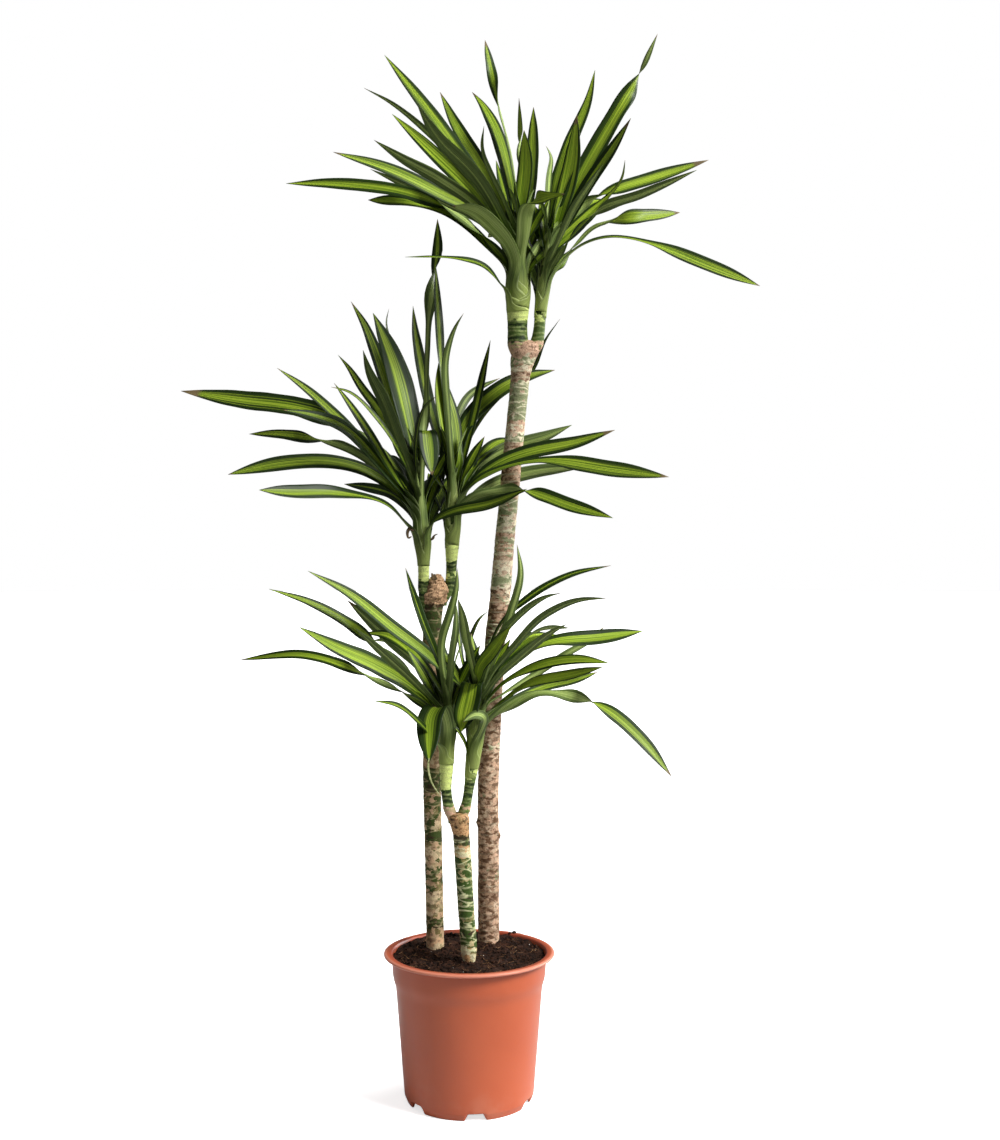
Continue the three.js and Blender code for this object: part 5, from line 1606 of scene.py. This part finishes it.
def pot_material():
    """Satin terracotta plastic: faint clouds, moulded grain, dust that gathers below, a painted highlight on
    the lip's outer edge and painted shade inside the lip.
    """
    made, tree, shader = plain_material(
        "terracotta_plastic", *TERRACOTTA, 14.0, 2600.0, 0.38, (0.12, 0.0002), gloss=0.42)
    fixed(shader, Coat_Weight=0.3, Coat_Roughness=0.42)
    colour = shader.inputs["Base Color"].links[0].from_socket
    spot = own_place(tree)
    height = node(tree, "ShaderNodeSeparateXYZ", [(0, spot)]).outputs["Z"]
    low = ramp(tree, height, 0.0, 0.06, 1.0, 0.0)
    dust = times(tree, low, ramp(tree, specks(tree, 30.0, 4.0), 0.45, 0.75, 0.0, 0.12))
    colour = blend(tree, dust, colour, screen(196, 164, 142))
    lip = ramp(tree, height, 0.2005, 0.2045)
    level = stretched(tree, spot, (1.0, 1.0, 0.0))
    out = node(tree, "ShaderNodeVectorMath", [(0, level)], operation="LENGTH").outputs["Value"]
    # Painted highlight: the outer edge of the lip is made paler where light catches it.
    painted_lip_highlight = times(tree, lip, ramp(tree, out, 0.1145, 0.1175, 0.0, 0.6))
    # Painted shade: the inner side of the lip and the top of the inner wall are made darker, as shade falls
    # inside the pot.
    inside = times(tree, lip, ramp(tree, out, 0.1105, 0.1145, 0.55, 0.0))
    colour = blend(tree, inside, colour, screen(140, 58, 42))
    tree.links.new(blend(tree, painted_lip_highlight, colour, screen(226, 150, 126)), shader.inputs["Base Color"])
    return made


pot_finish = pot_material()


def dress(thing, finish, nodes=()):
    """A piece gets its material and slot, rides on the one body and stands for CAD nodes."""
    thing.data.materials.clear()
    thing.data.materials.append(finish)
    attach(thing, "root")
    if nodes:
        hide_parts(*nodes)


dress(pot, pot_finish, ["pot"])
dress(soil, finish["moist_peat"], ["soil"])
dress(peat_crumbs, finish["moist_peat"])
dress(perlite, finish["perlite"])
dress(peat_fibres, finish["root_fibre"])
dress(scraps, finish["dry_leaf"])
dress(tail, finish["withered_leaf"])
for name in STEMS:
    dress(canes[name], bark_finish[name], [f"cane_{name}"])
    dress(leaves[name], leaf_finish, [f"crown_{name}"])
    dress(shoots[name], shoot_finish)
print("dressed", len(bpy.data.materials), "materials")

# %% [markdown]
# ## Floor and light
# The studio is plain: a wide pale floor, a soft key light high on the right, a lower and wider one behind
# it, and a weak even sky. The camera sees sky and floor as white paper, while the light that they give off
# is dimmer, and dimmest in gloss, so the shaded sides stay deep.

# %% Floor
FLOOR = {"top": -0.2, "under": -50, "radii": [30000, 30000, 29999, 29998, 3000, 600, 1]}  # mm
FLOOR_SEEN = {"tone": 0.93, "glow": 0.68}  # to the camera alone
FLOOR_BOUNCE = (0.4, 1.3, 0.62, 0.12)  # it reflects less from 0.4 m to 1.3 m away from the pot


def floor_disc():
    """A flat slab as rings: its lower edge, its upper edge, and inwards over the top."""
    turn = np.linspace(0, 2 * math.pi, 96, endpoint=False)
    radii = np.array(FLOOR["radii"], float)[:, None]
    level = np.full(len(radii), FLOOR["top"])[:, None] + 0 * turn
    level[0] = FLOOR["under"]
    return tubes("floor", np.stack([radii * np.cos(turn), radii * np.sin(turn), level], -1)[None])


floor = floor_disc()
floor_finish, floor_tree, floor_shader = new_material("pale_floor")
spot = own_place(floor_tree)
away = node(floor_tree, "ShaderNodeVectorMath", [(0, spot)], operation="LENGTH").outputs["Value"]
bounce = ramp(floor_tree, away, *FLOOR_BOUNCE)
shown = node(floor_tree, "ShaderNodeLightPath").outputs["Is Camera Ray"]
tone = calc(floor_tree, "MAXIMUM", times(floor_tree, shown, FLOOR_SEEN["tone"]), bounce)
glow = times(floor_tree, shown, FLOOR_SEEN["glow"])
for socket, level in (("Base Color", tone), ("Emission Color", glow)):
    grey = node(floor_tree, "ShaderNodeCombineColor", [(0, level), (1, level), (2, level)]).outputs[0]
    floor_tree.links.new(grey, floor_shader.inputs[socket])
fixed(floor_shader, Emission_Strength=1.0, Roughness=1.0, Specular_IOR_Level=0.0)
floor.data.materials.append(floor_finish)

# %% Lights
SKY_LIGHT = 0.3
SKY_IN_GLOSS = 0.1
SUNS = {"key": (4.75, -28, 40, 22), "rim": (2.3, 34, 18, 40)}  # (strength, azimuth, elevation, angle)
world = bpy.data.worlds.new("studio")
bpy.context.scene.world = world
world.use_nodes = True
sky = world.node_tree
sky.nodes.clear()
ray = node(sky, "ShaderNodeLightPath").outputs
given = plus(sky, times(sky, ray["Is Glossy Ray"], SKY_IN_GLOSS - SKY_LIGHT), SKY_LIGHT)
strength = calc(sky, "MAXIMUM", given, ray["Is Camera Ray"])
paper = node(sky, "ShaderNodeBackground", [("Color", (1.0, 1.0, 1.0, 1.0)), ("Strength", strength)])
node(sky, "ShaderNodeOutputWorld", [("Surface", paper.outputs[0])])


def sun(name, strength, azimuth, elevation, angle):
    """A far soft light from a compass turn (0 is +X, 90 is +Y) and a height above the floor, in degrees."""
    light = bpy.data.lights.new(name, "SUN")
    light.energy = strength
    light.angle = math.radians(angle)
    thing = bpy.data.objects.new(name, light)
    thing.rotation_euler = (0, math.radians(90 - elevation), math.radians(azimuth))
    bpy.context.scene.collection.objects.link(thing)


for name, values in SUNS.items():
    sun(name, *values)
bpy.context.scene.view_settings.view_transform = "Standard"
